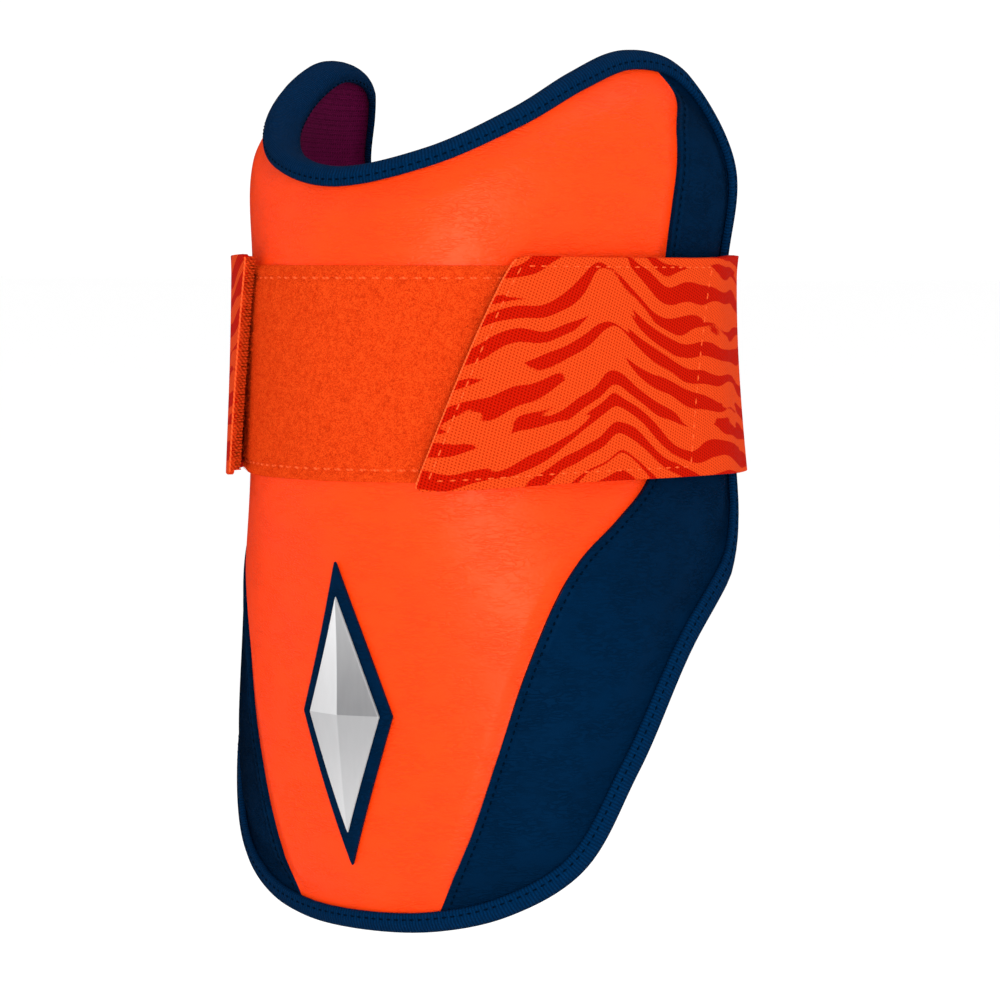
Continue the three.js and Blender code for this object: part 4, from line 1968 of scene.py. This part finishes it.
    def chart(self, angle: Array, up: Array) -> Array:
        """Lays the strap out flat, measured along its middle from the left side, in millimetres.

        Args:
            angle: The angles from the front.
            up: The places across the width.

        Returns:
            The points on the flat cut.
        """
        stops = np.linspace(*self.arc_span, self.arc_stops)
        line = SHELL.face(stops, np.zeros(len(stops)))
        return np.stack([np.interp(angle, stops, reach_along(line)), up], axis=-1)

    def band(self) -> Piece:
        """Builds the strap's band.

        Returns:
            The piece.
        """
        piece, across, share = new_grid("strap_web", *self.steps)
        up = self.width * (crowd_ends(share, self.crowding) - 0.5)
        angle = lerp(self.start(up), self.end(up), crowd_ends(across, self.crowding))
        outer = self.placed(angle, up, self.thickness - self.dip(angle, up))
        close_wall(piece, outer, self.placed(angle, up, 0.0), self.chart(angle, up))
        round_rim(piece, self.rim, self.rim_segments)
        return piece

    def hook_pad(self, side: Side, name: str) -> Piece:
        """Builds the hook tape under one end of the strap.

        Args:
            side: Which end.
            name: The piece's name.

        Returns:
            The piece.
        """
        piece, across, share = new_grid(name, *self.hook_steps)
        up = (self.width / 2 - self.hook_inset) * (2 * share - 1)
        inset = self.hook_end_inset / SHELL.mm_per_degree
        back = self.hook_back(up, side)
        ends = (self.start(up) + inset, back) if side is Side.RIGHT else (back, self.end(up) - inset)
        angle = lerp(*ends, across)
        outer, inner = (self.placed(angle, up, -depth) for depth in (self.hook_gap, self.hook_thickness))
        close_wall(piece, outer, inner, self.chart(angle, up))
        round_rim(piece, self.hook_rim)
        return piece

    def stitches(self) -> Piece:
        """Sews round the right tab, and across the strap where the hook pads end.

        Returns:
            The piece.
        """
        reach = self.width / 2 - self.stitch_line
        across = np.linspace(-reach, reach, self.end_stops)
        inset = self.stitch_line / SHELL.mm_per_degree
        rows = [
            (self.start(across) + inset, across),
            (self.hook_back(across, Side.RIGHT), across),
            (self.hook_back(across, Side.LEFT), across),
        ]
        share = np.linspace(self.tab_start, 1, self.tab_stops)
        for border in (-reach, reach):
            up = np.full(self.tab_stops, border)
            rows.append((lerp(self.start(up) + inset, self.hook_back(up, Side.RIGHT), share), up))
        lines = []
        for angle, up in rows:
            over = self.thickness - self.dip(angle, up) + self.stitch_proud
            lines.append((self.placed(angle, up, over), SHELL.normal(angle, up + self.rise)))
        return self.stitch.sew("strap_stitches", lines)

    def overlock(self) -> Piece:
        """Runs a zig-zag thread over the cut edges of the strap's left end and its hook pad.

        Returns:
            The piece.
        """
        half = self.width / 2 - self.overlock_margin
        count = int(2 * half / self.overlock_pitch)
        turns = (
            OverlockTurn(0.0, 0.0, self.thickness - self.overlock_top),
            OverlockTurn(0.2, 0.1, self.overlock_side),
            OverlockTurn(0.5, 0.0, self.overlock_bottom - self.hook_thickness),
            OverlockTurn(0.7, 0.05, self.overlock_side),
        )
        shares, outwards, heights = (np.array(column) for column in zip(*turns))
        draw = np.random.default_rng(self.overlock_seed)
        limit = self.overlock_unevenness
        uneven = draw.uniform(-limit, limit, (2, count * len(turns)))
        up = (np.linspace(-half, half, count)[:, None] + shares * self.overlock_pitch).ravel() + uneven[0]
        angle = self.end(up) + np.tile(outwards, count)
        corners = self.placed(angle, up, np.tile(heights, count) + uneven[1])
        path = spline(corners, np.linspace(0, 1, self.overlock_stops * len(up)), False)
        guides = np.broadcast_to(SHELL.normal(np.array([self.left_end]), np.zeros(1)), path.shape)
        return tubes("overlock_thread", path[None], guides[None], self.overlock_radius, self.overlock_sides)

    def hems(self) -> Piece:
        """Rolls a fine hem along both ends of the strap.

        Returns:
            The piece.
        """
        half = self.width / 2 - self.corner * self.hem_corner
        up = np.linspace(-half, half, self.hem_stops)
        angles = (self.start(up) - self.hem_out, self.end(up) + self.hem_out)
        ends = [self.placed(angle, up, self.thickness - self.hem) for angle in angles]
        guides = [SHELL.normal(angle, up + self.rise) for angle in angles]
        return tubes("strap_hems", np.stack(ends), np.stack(guides), self.hem, self.hem_sides)


@dataclass
class Badge:
    """A plain upright lozenge of four facets on a flat border."""

    z: float = -88.0
    height: float = 62.0
    width: float = 21.0
    ridge: float = 2.2
    base: float = 0.8
    margin: float = 3.0
    border_thickness: float = 1.4
    seat: float = 0.1
    plate_gap: float = 0.05
    bevel: float = 0.35
    bevel_segments: int = 2
    cuts: int = 9
    smooth_angle: float = 14.0

    def build(self) -> None:
        """Builds the border and the faceted plate."""
        wide = self.width + 2 * self.margin
        tall = self.height * wide / self.width
        border = self.lozenge("badge_border_leather", wide, tall, self.border_thickness, 0.0, self.seat)
        settle(border, NAVY_LEATHER, "navy_leather", "badge_border")
        over = self.seat + self.border_thickness + self.plate_gap
        plate = self.lozenge("badge_plate_silver", self.width, self.height, self.base, self.ridge, over)
        settle(plate, SILVER, "silver_rubber", "badge_plate")

    def lozenge(
        self, name: str, width: float, height: float, base: float, ridge: float, seat: float
    ) -> Piece:
        """Shapes a lozenge from a four-cornered disc and bends it onto the front.

        Args:
            name: The piece's name.
            width: Its width.
            height: Its height.
            base: Its thickness at the border.
            ridge: How far its middle rises above that.
            seat: The height of its underside over the front.

        Returns:
            The piece.
        """
        deselect()
        bpy.ops.mesh.primitive_circle_add(vertices=4, radius=0.5, fill_type="NGON")
        piece = bpy.context.object
        piece.name = piece.data.name = name
        bpy.ops.object.mode_set(mode="EDIT")
        bpy.ops.mesh.select_all(action="SELECT")
        bpy.ops.transform.resize(value=(width, height, 1.0))
        bpy.ops.mesh.extrude_region_move(TRANSFORM_OT_translate={"value": (0, 0, base)})
        bpy.ops.mesh.poke(offset=ridge)
        bpy.ops.mesh.select_all(action="SELECT")
        bpy.ops.mesh.normals_make_consistent(inside=False)
        bpy.ops.mesh.bevel(offset=self.bevel, segments=self.bevel_segments, affect="EDGES")
        bpy.ops.mesh.select_all(action="SELECT")
        bpy.ops.mesh.subdivide(number_cuts=self.cuts)
        bpy.ops.object.mode_set(mode="OBJECT")
        points = points_of(piece)
        angle = points[:, 0] / SHELL.mm_per_degree
        place_points(piece, SHELL.raised(angle, self.z + points[:, 1], seat + points[:, 2]))
        smooth(piece, self.smooth_angle)
        return piece


class SoftBox(NamedTuple):
    """A soft light: its name, its place, its width and height, and its power in watts."""

    name: str
    place: Triple
    size: Span
    power: float


@dataclass
class Studio:
    """The pale floor, the soft light and the camera."""

    azimuth: float = 35.371
    elevation: float = 3.593
    distance: float = 1055.0
    target_z: float = -36.65
    sideways: float = -3.96
    lens: float = 138.96
    sensor: float = 36.0
    floor_drop: float = 90.0
    floor_size: float = 80.0
    air_strength: float = 1.06
    lights: tuple[SoftBox, ...] = (
        SoftBox("key_light", (660, -760, -10), (320, 440), 3.8),
        SoftBox("top_light", (100, 200, 1100), (900, 900), 2.4),
    )

    def build(self) -> None:
        """Sets the stage."""
        self.camera()
        self.floor()
        self.air()
        for box in self.lights:
            self.hang(box)
        bpy.context.scene.view_settings.view_transform = "Standard"

    def camera(self) -> None:
        """Stands the camera at the photograph's viewing angle."""
        turn, tilt = math.radians(self.azimuth), math.radians(self.elevation)
        back = Vector((math.sin(turn) * math.cos(tilt), -math.cos(turn) * math.cos(tilt), math.sin(tilt)))
        right = Vector((math.cos(turn), math.sin(turn), 0.0))
        target = Vector((0.0, 0.0, self.target_z)) + right * self.sideways
        data = bpy.data.cameras.new("camera")
        data.lens, data.sensor_width = self.lens, self.sensor
        camera = bpy.data.objects.new("camera", data)
        camera.location = (target + back * self.distance) * MM
        camera.rotation_euler = (-back).to_track_quat("-Z", "Y").to_euler()
        bpy.context.scene.collection.objects.link(camera)
        bpy.context.scene.camera = camera

    def floor(self) -> None:
        """Lays the floor well below the guard, which is held up as it is worn."""
        deselect()
        low = cad_box[0].z - self.floor_drop * MM
        bpy.ops.mesh.primitive_plane_add(size=self.floor_size, location=(0, 0, low))
        bpy.ops.object.transform_apply(location=True)
        floor = bpy.context.object
        floor.name = floor.data.name = "studio_floor"
        floor.data.materials.append(STUDIO_PAPER.material())
        floor.visible_glossy = False

    def air(self) -> None:
        """Fills the studio with even white light that the leather doesn't mirror."""
        world = bpy.data.worlds.new("studio_air")
        bpy.context.scene.world = world
        world.use_nodes = True
        graph = Graph(world.node_tree)
        light = graph.add("Background", {"Color": (1, 1, 1, 1), "Strength": self.air_strength})
        output = graph.add("OutputWorld")
        graph.feed(output.inputs["Surface"], light.outputs[0])
        world.cycles_visibility.glossy = False

    def hang(self, box: SoftBox) -> None:
        """Hangs a soft light that faces the guard.

        Args:
            box: The light.
        """
        data = bpy.data.lights.new(box.name, "AREA")
        data.shape, data.energy = "RECTANGLE", box.power
        data.size, data.size_y = (side * MM for side in box.size)
        lamp = bpy.data.objects.new(box.name, data)
        place = Vector(box.place)
        lamp.location = place * MM
        aim = Vector((0.0, 0.0, self.target_z)) - place
        lamp.rotation_euler = aim.to_track_quat("-Z", "Y").to_euler()
        bpy.context.scene.collection.objects.link(lamp)


def main() -> None:
    """Builds the guard piece by piece, then the studio."""
    logging.basicConfig(level=logging.INFO, format="%(name)s: %(message)s")
    Panels().build()
    Lining().build()
    EdgeBinding().build()
    LoopPatch().build()
    Strap().build()
    Badge().build()
    Studio().build()


if __name__ == "__main__":
    main()
